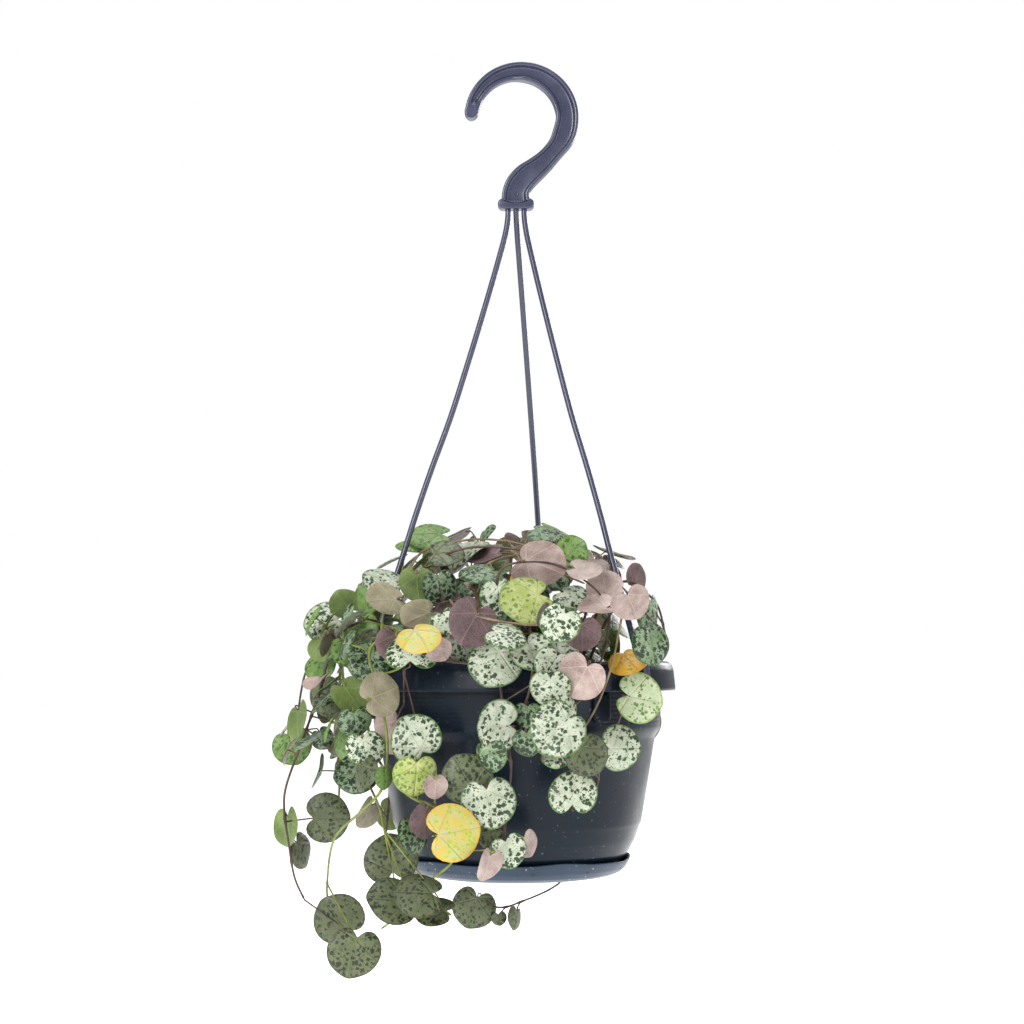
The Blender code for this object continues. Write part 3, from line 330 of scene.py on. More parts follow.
# what the photograph shows, vine by vine: the stem's points, each across and down in pixels and out from
# the envelope in millimetres; then its leaves, each with across and down, width (negative where the
# underside shows), direction of the tip, turn and tilt in degrees, millimetres out, and the face seen
photoVines = (
    (((497, 636, -4), (498, 660, 1), (502, 700, 2), (508, 742, 3), (511, 772, 3), (506, 806, 3),
      (503, 830, 3), (494, 850, 3)), (
        (495, 662, 21, -110, 0, 15, 6, "silver"), (498, 726, 20.5, 180, -30, 0, 6, "silver"),
        (490, 755, 14, -80, -30, 0, 3, "green"), (467, 779, 20.5, 120, 0, 5, 6, "grey"),
        (489, 801, 21.5, -80, 5, 5, 10, "silver"), (490, 836, 10, -110, 0, 0, 6, "grey"),
        (508, 850, 14.5, -70, 0, 0, 9, "silver"), (526, 843, -11, -60, 40, 0, 3, "lilac"),
        (487, 863, -14, -100, 55, 0, 4, "lilac"),
    )),
    (((531, 636, -6), (533, 662, 1), (529, 692, 2), (521, 716, 3), (522, 742, 3)), (
        (531, 650, 17, -70, 0, 20, 4, "silver"), (528, 714, 11.5, -90, 0, 0, 5, "green"),
        (528, 741, 12, -80, 10, 0, 5, "green"),
    )),
    (((556, 628, -8), (554, 658, 1), (552, 690, 2), (558, 714, 3), (562, 742, 3)), (
        (563, 643, 18, -30, 0, 58, 3, "silver"), (553, 664, 15, -120, 0, 35, 5, "silver"),
        (551, 688, 16, -90, -10, 0, 6, "silver"), (565, 709, 13, -80, 55, 0, 3, "silver"),
        (558, 728, 22.5, -135, 0, 5, 10, "silver"), (556, 757, 12, -90, 0, 50, 4, "silver"),
    )),
    (((606, 590, -4), (609, 616, 0), (606, 642, 2), (600, 664, 3), (589, 690, 3), (573, 707, 3)), (
        (583, 675, -19, -120, -30, 0, 6, "lilac"), (603, 663, -17, -75, 30, 0, 6, "lilac"),
        (599, 608, -17, 180, 0, 62, 5, "lilac"), (605, 588, -15, 100, 0, 10, 5, "lilac"),
    )),
    (((632, 604, -6), (629, 640, -2), (626, 662, 2), (622, 690, 2), (608, 727, 2), (601, 748, 2),
      (590, 772, 2), (585, 800, 2)), (
        (628, 660, 16, -60, 0, 48, 6, "orange"), (639, 698, 20, -10, 15, 0, 4, "pale"),
        (620, 748, 18.5, 0, 20, 0, 4, "silver"), (587, 755, 17, -60, -10, 0, 5, "grey"),
        (573, 794, 19, 90, 0, 10, 6, "silver"), (569, 826, 18, 200, 0, 52, 4, "silver"),
    )),
    (((618, 586, -12), (634, 596, -8), (648, 612, -4), (655, 640, -2)), (
        (635, 578, -13, 60, 50, 0, 0, "plum"), (651, 613, 17, -80, 45, 0, 2, "green"),
        (652, 643, 18, -80, 35, 0, 3, "green"), (631, 602, -16, -60, -20, 0, 2, "lilac"),
    )),
    (((410, 640, -5), (405, 664, 1), (404, 684, 2), (404, 704, 2)), (
        (395, 730, -20, -110, -45, 0, 3, "lilac"), (416, 740, 20.5, 120, 0, 5, 7, "silver"),
        (411, 651, 21, 90, 0, 42, 6, "silver"),
    )),
    (((372, 650, -2), (364, 690, 4), (369, 732, 5), (381, 764, 6), (408, 795, 6), (436, 808, 5),
      (455, 838, 5), (452, 862, 5), (425, 885, 5), (416, 903, 5), (381, 929, 5)), (
        (416, 774, 18, -90, 40, 0, 5, "lime"), (451, 832, 22.5, 10, 0, 5, 9, "yellow"),
        (415, 832, 17, -85, 62, 0, 3, "green"), (435, 786, -10, -90, 40, 0, 4, "lilac"),
        (424, 818, -16, -90, 58, 0, 1, "plum"), (436, 910, 17, 170, 0, 60, 5, "grey"),
    )),
    (((352, 660, 2), (358, 700, 8), (364, 745, 10), (378, 786, 11), (391, 815, 11), (396, 838, 11)), (
        (360, 630, 17, -60, -50, 0, 7, "fresh"), (350, 695, -17, -60, 20, 0, 13, "olive"),
        (355, 721, 14, -80, 20, 0, 13, "green"), (365, 748, 16, -80, 0, 0, 14, "silver"),
        (358, 772, 20, 190, 0, 38, 14, "green"), (385, 777, 10, -90, 55, 0, 10, "fresh"),
        (391, 860, 21.5, 100, 0, 15, 13, "grey"), (394, 900, 21, 170, 0, 38, 10, "grey"),
        (420, 893, 21, 175, 0, 64, 4, "grey"),
    )),
    (((364, 634, 0), (352, 650, 0), (344, 670, 0), (336, 700, 0), (320, 745, 0), (304, 790, 0),
      (302, 815, 0), (306, 845, 0), (312, 880, 0), (322, 903, 0)), (
        (348, 647, 16, -50, 35, 0, 6, "fresh"), (324, 695, 19, -80, -40, 0, 4, "grey"),
        (345, 742, 20, -90, -35, 0, 4, "fresh"), (322, 738, 10, -60, 0, 0, 1, "green"),
        (325, 818, 21, 0, 0, 0, 3, "grey"), (288, 825, -18, -80, -45, 0, 2, "olive"),
        (301, 850, 17, -60, 55, 0, 1, "grey"), (339, 920, 22, 130, 0, 0, 4, "grey"),
    )),
    (((392, 664, 2), (399, 702, 2), (409, 752, 3), (405, 800, 6), (385, 824, 8), (356, 852, 4),
      (348, 897, -3), (350, 922, -3)), (
        (354, 951, 22, -100, 0, 0, 4, "grey"),
    )),
    (((372, 650, -14), (345, 655, -12), (318, 655, -12), (304, 670, -12), (298, 692, -12), (294, 722, -12)), (
        (320, 665, 16, -90, -30, 30, -8, "fresh"), (292, 745, 17.5, -70, 0, 0, -12, "fresh"),
    )),
    (((366, 590, -10), (350, 602, -8), (334, 614, -7), (322, 632, -7)), (
        (346, 603, -15, 120, 0, -35, -6, "olive"), (328, 622, 21, 190, 0, 40, -3, "silver"),
        (324, 646, -15, -60, -20, 0, -6, "olive"),
    )),
    (((386, 606, 3), (379, 640, 4), (378, 668, 4), (376, 686, 4)), (
        (368, 661, 17, -120, 0, 10, 7, "green"), (394, 643, -16, -100, 30, 0, 6, "plum"),
        (379, 695, -18, 20, 35, 0, 6, "beige"), (365, 597, 17, -80, -50, 0, 6, "fresh"),
    )),
    (((404, 598, 0), (402, 574, 0), (414, 554, 0), (436, 546, 0), (468, 541, 0), (500, 543, 0),
      (528, 550, 0)), (
        (430, 534, 20, 180, 0, 55, 2, "fresh"), (412, 545, 14, 180, 0, 66, 6, "fresh"),
        (444, 553, 17, 0, 0, 50, 4, "grey"), (384, 580, 18, 160, 0, 42, 3, "silver"),
        (417, 584, -16, -90, 20, 10, 8, "olive"), (537, 563, -23, -20, 0, -40, 3, "lilac"),
    )),
    (((402, 618, 2), (420, 612, 2), (446, 606, 2), (468, 612, 2)), (
        (388, 598, -17, 180, 0, -50, 5, "beige"), (422, 614, -18, -150, 0, -45, 6, "beige"),
        (447, 620, 13, -60, 0, 20, 7, "silver"), (472, 622, -20, -120, 10, 0, 7, "plum"),
        (440, 586, 16, -80, 30, 0, 4, "green"),
    )),
    (((436, 640, -3), (430, 652, 0), (444, 660, 2), (468, 664, 1)), (
        (419, 636, 17, -60, 0, 35, 9, "yellow"), (439, 649, -10, -60, 0, 0, 8, "lilac"),
        (464, 645, 18, -70, 0, 10, 4, "silver"),
    )),
    (((476, 608, -2), (504, 600, 0), (528, 606, 0), (546, 600, 0)), (
        (499, 596, 16, -80, 30, 0, 4, "silver"), (527, 598, 22, -160, 0, 30, 8, "lime"),
        (504, 634, 18, -30, 0, 60, 5, "silver"), (548, 614, -13, -90, 50, 0, 5, "plum"),
    )),
    (((470, 585, -4), (492, 562, -2), (530, 554, -2), (572, 558, -2), (600, 576, -2)), (
        (480, 572, 17, 200, 0, 60, 3, "green"), (524, 579, 12, 200, 0, 58, 4, "orange"),
        (570, 554, 16, 40, -30, 0, 1, "fresh"), (556, 575, 14, -40, 30, 20, 3, "green"),
        (583, 571, -15, -20, 0, 52, 3, "lilac"),
    )),
    (((560, 604, -3), (574, 622, -1), (586, 640, 0)), (
        (582, 632, -15, -90, 0, 0, 5, "plum"), (560, 622, 16, -120, 0, 30, 4, "silver"),
        (571, 596, 15, -40, 0, 30, 3, "silver"),
    )),
    (((577, 636, -128), (573, 646, -137), (570, 668, -141), (567, 700, -142), (566, 760, -143),
      (566, 820, -143), (565, 858, -142), (562, 879, -139), (552, 888, -136), (538, 895, -132),
      (523, 901, -128), (506, 907, -124), (493, 907, -122)), (
        (474, 907, 20, -110, 0, 0, -121, "grey"), (499, 918, 7, -80, 0, 0, -122, "grey"),
        (516, 917, 12, -110, 60, 0, -124, "grey"),
    )),
)


class Crowd:
    # all that is placed so far: round discs for leaves, and dots with a radius for everything thin

    def __init__(self):
        self.discs = np.empty((0, 7))
        self.samples = np.empty((0, 3))
        self.dots = np.empty((0, 4))
        self.dotVines = np.empty(0, int)

    def addLeaf(self, leaf):
        self.discs = np.vstack([self.discs, [*leaf["centre"], *leaf["normal"], leaf["reach"]]])
        self.samples = np.vstack([self.samples, leaf["samples"]])

    def addLine(self, points, radius, vine):
        self.dots = np.vstack([self.dots, np.column_stack([points, np.full(len(points), radius)])])
        self.dotVines = np.concatenate([self.dotVines, np.full(len(points), vine)])

    def lineClear(self, points, radius, vine, margin):
        if len(self.dots):
            others = self.dots[self.dotVines != vine]
            apart = np.linalg.norm(points[:, None] - others[None, :, :3], axis=2) - others[None, :, 3]
            if apart.size and apart.min() < radius + margin:
                return False
        return self.discsClear(points, radius + margin)

    def discsClear(self, points, margin):
        if not len(self.discs):
            return True
        return discGap(points, self.discs) > margin

    def leafClear(self, leaf, vine, stemNear):
        if not self.discsClear(leaf["samples"], foliage["leafClear"]):
            return False
        disc = np.array([[*leaf["centre"], *leaf["normal"], leaf["reach"]]])
        if len(self.samples) and discGap(self.samples, disc) < foliage["leafClear"]:
            return False
        others = self.dots[(self.dotVines != vine) | ~stemNear]
        if len(others) and discGap(others[:, :3], disc, others[:, 3]) < 1.3:
            return False
        return True


def discGap(points, discs, radii=0.0):
    # the least distance from any point to any disc
    offset = points[:, None] - discs[None, :, :3]
    height = np.einsum("ijk,jk->ij", offset, discs[:, 3:6])
    flat = np.linalg.norm(offset - height[..., None] * discs[None, :, 3:6], axis=2)
    gap = np.hypot(np.maximum(flat - discs[:, 6], 0.0), height)
    return (gap - np.reshape(radii, (-1, 1))).min()


def outsidePot(points, margin):
    # true if no point is in the pot, the tray, the soil or the rim's wall
    x, y, z = points.T
    r = np.hypot(x, y)
    level = z - potSizes["rimZ"]
    beside = (r > potSizes["rimRadius"] + 0.9 + margin) | (level < -94.0 - margin)
    above = (level > 0.4 + margin) & (z > foliage["soilTopZ"] + 2)
    inside = (r < 57.0 - margin) & (z > foliage["soilTopZ"] + 2.2 + margin)
    return bool((beside | above | inside).all())


def leafOutline(t):
    # a rounded heart of width 1 as t runs from its notch, at -pi, round the tip, at 0, and back
    x = 0.5 * np.sin(t)
    notch = np.exp(-(((np.abs(t) - math.pi) / 0.30) ** 2))
    tip = np.exp(-((t / 0.28) ** 2))
    y = 0.475 * np.cos(t) + 0.27 * notch + 0.03 * tip
    return x, y


def leafFrame(tip, turn, tilt, flip):
    # the leaf's side, tip and normal directions; at 0, 0 it faces the camera
    a, b, c = math.radians(tip), math.radians(turn), math.radians(tilt)
    across = np.array([[math.cos(b), -math.sin(b), 0], [math.sin(b), math.cos(b), 0], [0, 0, 1]])
    lifted = np.array([[1, 0, 0], [0, math.cos(c), math.sin(c)], [0, -math.sin(c), math.cos(c)]])
    both = across @ lifted
    ahead = both @ np.array([math.cos(a), 0.0, math.sin(a)])
    normal = both @ np.array([0.0, -1.0, 0.0]) * (-1 if flip else 1)
    return np.cross(ahead, normal), ahead, normal


def leafSurface(leaf, x, y):
    # the blade's middle surface: a shallow dome that falls away towards the edge
    drop = -foliage["bladeCup"] * 4 * (x**2 + y**2)
    size = leaf["size"]
    return (
        leaf["centre"]
        + np.outer(x * size, leaf["side"])
        + np.outer(y * size, leaf["ahead"])
        + np.outer(drop * size, leaf["normal"])
    )


sampleT = np.linspace(-math.pi, math.pi, 16, endpoint=False)


def makeLeaf(centre, size, tip, turn, tilt, flip, roundBy=0.0):
    # the leaf's frame, its notch, and sample points on its middle surface; roundBy turns it about Z
    side, ahead, normal = leafFrame(tip, turn, tilt, flip)
    if roundBy:
        cos, sin = math.cos(roundBy), math.sin(roundBy)
        spin = np.array([[cos, -sin, 0], [sin, cos, 0], [0, 0, 1]])
        side, ahead, normal = spin @ side, spin @ ahead, spin @ normal
    leaf = {"centre": np.asarray(centre, float), "size": size, "side": side, "ahead": ahead, "normal": normal}
    leaf["reach"] = 0.5 * size
    x, y = leafOutline(sampleT)
    grid = [leafSurface(leaf, x * k, y * k) for k in (1.0, 0.6)]
    leaf["samples"] = np.vstack([*grid, leafSurface(leaf, np.zeros(1), np.zeros(1))])
    leaf["root"] = leafSurface(leaf, np.zeros(1), np.array([foliage["notchY"]]))[0]
    return leaf


def stalkLine(leaf, stem, shift):
    # from the stem to the notch; a stalk that would fold back over its blade leaves the notch straight
    gaps = np.linalg.norm(stem - leaf["root"], axis=1)
    nearest = int(np.argmin(np.abs(gaps - foliage["bestStalk"]) + 0.4 * gaps))
    start = stem[min(len(stem) - 1, max(0, nearest + shift))]
    line = [start, leaf["root"]]
    way = (start - leaf["root"]) / max(np.linalg.norm(start - leaf["root"]), 0.1)
    if np.dot(way, leaf["ahead"]) > -0.45:
        line.insert(1, leaf["root"] - leaf["ahead"] * 2.4 - leaf["normal"] * 1.2)
    return np.array(line)


def tryLeaf(crowd, vine, leaf, stem):
    # adds the leaf and its stalk to the vine if both are clear of everything else
    if not outsidePot(leaf["samples"], 0.8):
        return False
    for shift in (0, -4, 4, -8):
        stalk = stalkLine(leaf, stem, shift)
        near = np.linalg.norm(crowd.dots[:, :3] - stalk[0], axis=1) < 6.0
        if not crowd.leafClear(leaf, vine["number"], near):
            continue
        dots = divided(stalk, 1.5)
        thin = (dots[:-1], foliage["stalkRadius"], vine["number"])
        if not outsidePot(dots, 0.6) or not crowd.lineClear(*thin, 1.0):
            continue
        leaf["stalk"] = stalk
        vine["leaves"].append(leaf)
        crowd.addLeaf(leaf)
        crowd.addLine(*thin)
        return True
    return False


def rooted(points, draw):
    # puts the stem's root in the soil, under and behind the first point, with an arch between them
    first = points[0]
    angle = math.atan2(first[1], first[0])
    reach = min(47.0, max(12.0, math.hypot(first[0], first[1]) * 0.62))
    angle += draw.uniform(-0.12, 0.12)
    deep = foliage["rootDepth"]
    root = np.array([reach * math.cos(angle), reach * math.sin(angle), foliage["soilTopZ"] - deep])
    rise = root + (0, 0, deep + 5.0)
    lift = (rise + first) / 2 + (0, 0, 0.28 * np.linalg.norm(first - rise))
    low = [root + (0, 0, deep * 0.6), root + (0, 0, deep + 2.0)]
    return np.vstack([root, *low, rise, lift, points])


def settleStem(crowd, number, points, draw):
    # moves a stem in small steps until it is clear of the others
    for attempt in range(foliage["tries"]):
        shift = np.zeros(3)
        if attempt:
            reach = 1 + 0.25 * attempt
            shift = np.array([draw.uniform(-1, 1), draw.uniform(-1, 1), draw.uniform(-0.3, 0.6)]) * reach
        line = rooted(points + shift, draw)
        path, radius = spline(line, 1.5), foliage["stemRadius"]
        if outsidePot(path[9:], radius) and crowd.lineClear(path, radius, number, 1.5):
            crowd.addLine(path, radius, number)
            return {"number": number, "path": path, "leaves": []}
    return None


def dressFromPhoto(crowd, vines, vine, draw):
    # each listed leaf goes on its own stem, or on a near one where its own has no clear way to it
    for px, py, width, tip, turn, tilt, out, kind in vine["listed"]:
        place = spot(px, py, out)
        gaps = [np.linalg.norm(other["path"] - place, axis=1).min() for other in vines]
        near = [other for other, gap in zip(vines, gaps) if gap < foliage["nearStem"] and other is not vine]
        shape = (abs(width), tip, turn, tilt, width < 0)
        for carrier in [vine, *near]:
            if settleLeaf(crowd, carrier, (px, py, out), shape, kind, draw):
                break


def settleLeaf(crowd, vine, place, shape, kind, draw):
    # moves a leaf along the line of sight, and turns it a little, until it is clear of the others
    px, py, out = place
    size, tip, turn, tilt, flip = shape
    for attempt in range(foliage["tries"]):
        step = (attempt + 1) // 2 * (1 if attempt % 2 else -1)
        loose = min(attempt, 20)
        leaf = makeLeaf(
            spot(px, py, out + step * 0.8), size, tip,
            turn + draw.uniform(-1, 1) * loose, tilt + draw.uniform(-1, 1) * loose, flip,
        )
        leaf["kind"] = kind
        if tryLeaf(crowd, vine, leaf, vine["path"][8:]):
            return True
    return False


def dressByRule(crowd, vine, draw):
    # pairs of leaves along the stem, on alternate sides, facing outwards
    stem = vine["path"]
    first, spacing, last, upright = vine["rule"]
    for at in range(first, min(last, len(stem)), spacing):
        for side in (-1, 1):
            for attempt in range(foliage["tries"] // 3):
                node = stem[at]
                angle = math.atan2(node[1], node[0])
                away = np.array([math.cos(angle), math.sin(angle), 0.0])
                across = np.array([-away[1], away[0], 0.0])
                size = draw.uniform(14.5, 20.5)
                centre = (
                    node
                    + across * side * draw.uniform(7, 14)
                    + away * draw.uniform(1, 8)
                    + np.array([0, 0, draw.uniform(-10, 3) if upright < 30 else draw.uniform(-2, 9)])
                )
                leaf = makeLeaf(
                    centre, size, -90 + side * draw.uniform(15, 95), side * draw.uniform(-10, 38),
                    upright + draw.uniform(-22, 22), draw.random() < 0.22, angle + math.pi / 2,
                )
                if tryLeaf(crowd, vine, leaf, stem):
                    break


def crownPoints(degrees, draw):
    # a stem that rises from the soil and arches outwards just under the dome
    angle = math.radians(degrees)
    swing = draw.uniform(0.4, 0.7) * draw.choice((-1, 1))
    points = []
    for k in range(5):
        reach = 14 + 10.0 * k
        height = 0.80 * foliage["domeHeight"] * math.sqrt(1 - (reach / 72) ** 2)
        at = angle + swing * (k / 4) ** 1.3
        points.append((reach * math.cos(at), reach * math.sin(at), potSizes["rimZ"] + height))
    return np.array(points)


def hangingPoints(degrees, drop, draw):
    # a stem that comes over the rim and hangs down beside the pot
    angle = math.radians(degrees)
    points = []
    for reach, height in ((56, 15), (67, 9), (71.5, -3), (72, -16)):
        points.append((reach * math.cos(angle), reach * math.sin(angle), potSizes["rimZ"] + height))
    steps = max(1, int(drop / 20))
    for k in range(steps):
        angle += draw.uniform(-0.06, 0.06)
        reach = 71.5 + draw.uniform(0, 2.5)
        z = potSizes["rimZ"] - 16 - (drop - 16) * (k + 1) / steps
        points.append((reach * math.cos(angle), reach * math.sin(angle), z))
    return np.array(points)


def layOutVines():
    # first every stem, then the leaves that the photograph shows, and then the rest by rule
    draw = random.Random(foliage["seed"])
    crowd = Crowd()
    for k in range(3):
        crowd.addLine(strandPath(k, 1.5), hangerSizes["tabHalfWidth"], -1)
    vines = []
    wanted = [([spot(*p) for p in stem], {"listed": leaves}) for stem, leaves in photoVines]
    wanted[-1][1]["rule"] = foliage["behindRule"]
    wanted += [(crownPoints(degrees, draw), {"rule": foliage["crownRule"]}) for degrees in foliage["crownAt"]]
    wanted += [
        (hangingPoints(degrees, drop, draw), {"rule": foliage["hangingRule"]})
        for degrees, drop in zip(foliage["hangingAt"], foliage["hangingDrops"])
    ]
    for points, dress in wanted:
        vine = settleStem(crowd, len(vines), np.array(points), draw)
        if vine is not None:
            vines.append({**vine, **dress})
    for vine in vines:
        if "listed" in vine:
            dressFromPhoto(crowd, vines, vine, draw)
    for vine in vines:
        if "rule" in vine:
            dressByRule(crowd, vine, draw)
    return [vine for vine in vines if vine["leaves"]], crowd


# camera, floor and light

studio = {
    "aim": (0, 0, -0.25),
    # each lamp's place and width in metres, and its power in watts
    "lamps": {
        "key": ((-0.8, -1.3, 0.4), 0.9, 21.5),
        "fill": ((1.2, -0.9, 0.0), 1.0, 6.0),
        "top": ((0.1, 0.1, 1.0), 1.0, 13.0),
        "rim": ((0.7, 1.1, 0.2), 0.6, 7.0),
    },
    "roomLight": 0.4,
    "roomSeen": 1.0,
    "floorGlow": 0.76,
    "floorZ": -0.47,
    "floorHalf": 8,
    "sensorMm": 36.0,
}


def softLight(name, place, size, power):
    # a round lamp that faces the aim and isn't seen itself
    light = bpy.data.lights.new(name, "AREA")
    light.shape = "DISK"
    light.size = size
    light.energy = power
    lamp = bpy.data.objects.new(name, light)
    bpy.context.scene.collection.objects.link(lamp)
    lamp.location = place
    lamp.visible_camera = False
    lamp.rotation_euler = (Vector(studio["aim"]) - Vector(place)).to_track_quat("-Z", "Y").to_euler()


def buildStudio():
    # the camera looks up by atan(cameraTanUp); its lens is focalPx / (2 centrePx) times the sensor's width
    camera = bpy.data.objects.new("camera", bpy.data.cameras.new("camera"))
    bpy.context.scene.collection.objects.link(camera)
    camera.data.sensor_width = studio["sensorMm"]
    camera.data.lens = photoView["focalPx"] / (2 * photoView["centrePx"]) * camera.data.sensor_width
    place = (photoView["cameraX"], -photoView["cameraAway"], photoView["cameraZ"])
    camera.location = tuple(v * 0.001 for v in place)
    camera.rotation_euler = (math.pi / 2 + math.atan(photoView["cameraTanUp"]), 0, 0)
    bpy.context.scene.camera = camera

    half = studio["floorHalf"]
    ends = ((-half, -half), (half, -half), (half, half), (-half, half))
    corners = [(x, y, studio["floorZ"]) for x, y in ends]
    mesh = bpy.data.meshes.new("floor")
    mesh.from_pydata(corners, [], [(0, 1, 2, 3)])
    # matt white paper sweep: no gloss, and just enough mottle that it isn't one flat colour
    glow = {"Emission Color": (1, 1, 1, 1), "Emission Strength": studio["floorGlow"]}
    material, add = startMaterial("mattPaperSweep", {"Roughness": 0.95, "Specular IOR Level": 0.1, **glow})
    mottle = add("TexNoise", {"Vector": add("TexCoord", {}, "Object"), "Scale": 3.0}, "Fac")
    tint = add("Mix", {0: mottle, 6: colour("#fdfdfd"), 7: colour("#ffffff")}, 2, data_type="RGBA")
    mesh.materials.append(joined(material, {"Base Color": tint}))
    sweep = bpy.data.objects.new("floor", mesh)
    bpy.context.scene.collection.objects.link(sweep)

    # the room looks white behind the object, and lights it less than that
    world = bpy.data.worlds.new("softRoom")
    world.use_nodes = True
    room = world.node_tree
    seen = addNode(room, "LightPath", {}, "Is Camera Ray")
    strength = addNode(room, "MapRange", {0: seen, 3: studio["roomLight"], 4: studio["roomSeen"]})
    room.nodes["Background"].inputs["Color"].default_value = (1, 1, 1, 1)
    room.links.new(strength, room.nodes["Background"].inputs["Strength"])
    bpy.context.scene.world = world
    bpy.context.scene.view_settings.view_transform = "Standard"
    for name, (place, size, power) in studio["lamps"].items():
        softLight(name, place, size, power)


buildStudio()
print("studio set")


# polypropylene pot, injection moulded: smooth blue grey with a soft gloss, a faint flow mottle and dust

potLook = {
    "base": "#0a121a",
    "light": "#121d29",
    "dust": "#5d6874",
    "dustFrom": 0.69,
    "roughness": 0.3,
    "flowMm": 14.0,
    "bumpMm": 0.08,
    "grainMm": 1.3,
    "dustMm": 1.4,
    "specular": 0.17,
}


def mouldedPlastic(name, look):
    # colour drifts slowly along the flow of the melt; dust shows as pale specks above the threshold
    finish = {"IOR": 1.49, "Metallic": 0.0, "Specular IOR Level": look["specular"]}
    material, add = startMaterial(name, finish)
    place = add("TexCoord", {}, "Object")
    flow = add("TexNoise", {"Vector": place, "Scale": 1000 / look["flowMm"], "Detail": 3.0}, "Fac")
    grain = add("TexNoise", {"Vector": place, "Scale": 1000 / look["grainMm"], "Detail": 2.0}, "Fac")
    specks = add("TexNoise", {"Vector": place, "Scale": 1000 / look["dustMm"], "Detail": 1.0}, "Fac")
    tint = add("Mix", {0: flow, 6: colour(look["base"]), 7: colour(look["light"])}, 2, data_type="RGBA")
    dusty = {0: specks, 1: look["dustFrom"], 2: look["dustFrom"] + 0.08, 3: 0.0, 4: 0.45}
    dusty = add("MapRange", dusty, interpolation_type="SMOOTHSTEP")
    body = add("Mix", {0: dusty, 6: tint, 7: colour(look["dust"])}, 2, data_type="RGBA")
    rough = {0: flow, 1: 0.3, 2: 0.7, 3: look["roughness"] - 0.05, 4: look["roughness"] + 0.08}
    height = add("Math", {0: flow, 1: 5.0, 2: grain}, operation="MULTIPLY_ADD")
    bump = add("Bump", {"Strength": 0.25, "Distance": look["bumpMm"] / 1000, "Height": height})
    return joined(material, {"Base Color": body, "Roughness": add("MapRange", rough), "Normal": bump})


potShape = {
    "steps": 240,
    "spacing": 1.6,
    "cornerMm": 0.7,
    "ridgePitch": 1.7,
    "ridgeDepth": 0.05,
    "ridgesFrom": -26.0,
    "ridgesTo": -13.0,
    "sway": 0.10,
    "profile": (
        (0.0, -83.4), (37.3, -83.6), (41.8, -81.4), (44.8, -77.6), (47.2, -72.8), (48.9, -67.8),
        (49.05, -67.1), (49.85, -66.9), (50.0, -66.2), (56.0, -31.0), (57.6, -28.6), (58.4, -3.0),
        (59.2, -0.9), (60.8, -0.1), (62.9, -0.1), (64.6, -1.1), (65.5, -3.6), (66.3, -11.0), (66.1, -11.9),
        (65.3, -11.9), (64.0, -2.6), (60.3, -2.6),
        (59.7, -26.6), (59.3, -28.2), (57.6, -31.2), (57.0, -34.0), (51.6, -66.2), (51.0, -67.4),
        (49.0, -73.0), (46.2, -78.4), (42.8, -82.8), (38.4, -85.5), (33.0, -85.5), (32.0, -84.9),
        (0.0, -84.9),
    ),
    "lugTurn": -16.0,
    "lugHalfWidth": 3.9,
    "lugSlotHalf": 2.8,
    "lugTop": -5.0,
    "lugBottom": -24.0,
    "lugSlotBottom": -13.5,
    "lugDepth": (58.6, 61.5),
    "earEase": 2.4,
    "collar": (59.0, 60.4),
    "ridgeSpacing": 0.42,
}


def earPart(angle):
    # 1 in the rim's three wider stretches, 0 between, and a smooth step of earEase degrees at their ends
    degrees = np.degrees(angle)
    away = np.min([np.abs((degrees - at + 180) % 360 - 180) for at in hangerSizes["strandAt"]], axis=0)
    step = np.clip((potSizes["earHalfAngle"] - away) / potShape["earEase"] + 0.5, 0, 1)
    return step * step * (3 - 2 * step)


def potWiden(r, z, angle):
    # ears on the rim, fine ridges on the collar, and the slight waviness of thin moulded walls
    ears = (earPart(angle) - 1) * potSizes["earStep"] * (r > 62)
    onCollar = (r > potShape["collar"][0]) & (r < potShape["collar"][1])
    ridged = onCollar & (z > potShape["ridgesFrom"]) & (z < potShape["ridgesTo"])
    ridges = ridged * potShape["ridgeDepth"] * np.sin(2 * math.pi * z / potShape["ridgePitch"])
    wall = np.clip((-4 - z) / 20, 0, 1) * (z > -84) * (r > 44)
    waves = np.sin(3 * angle + z / 17) + 0.6 * np.sin(7 * angle - z / 9 + 1.0)
    sway = wall * potShape["sway"] * waves / 1.6
    onSkirt = 0.2 * potShape["sway"] * (r >= 58.6) * np.sin(5 * angle)
    return ears + ridges - np.abs(sway) * (r < 58.6) - onSkirt


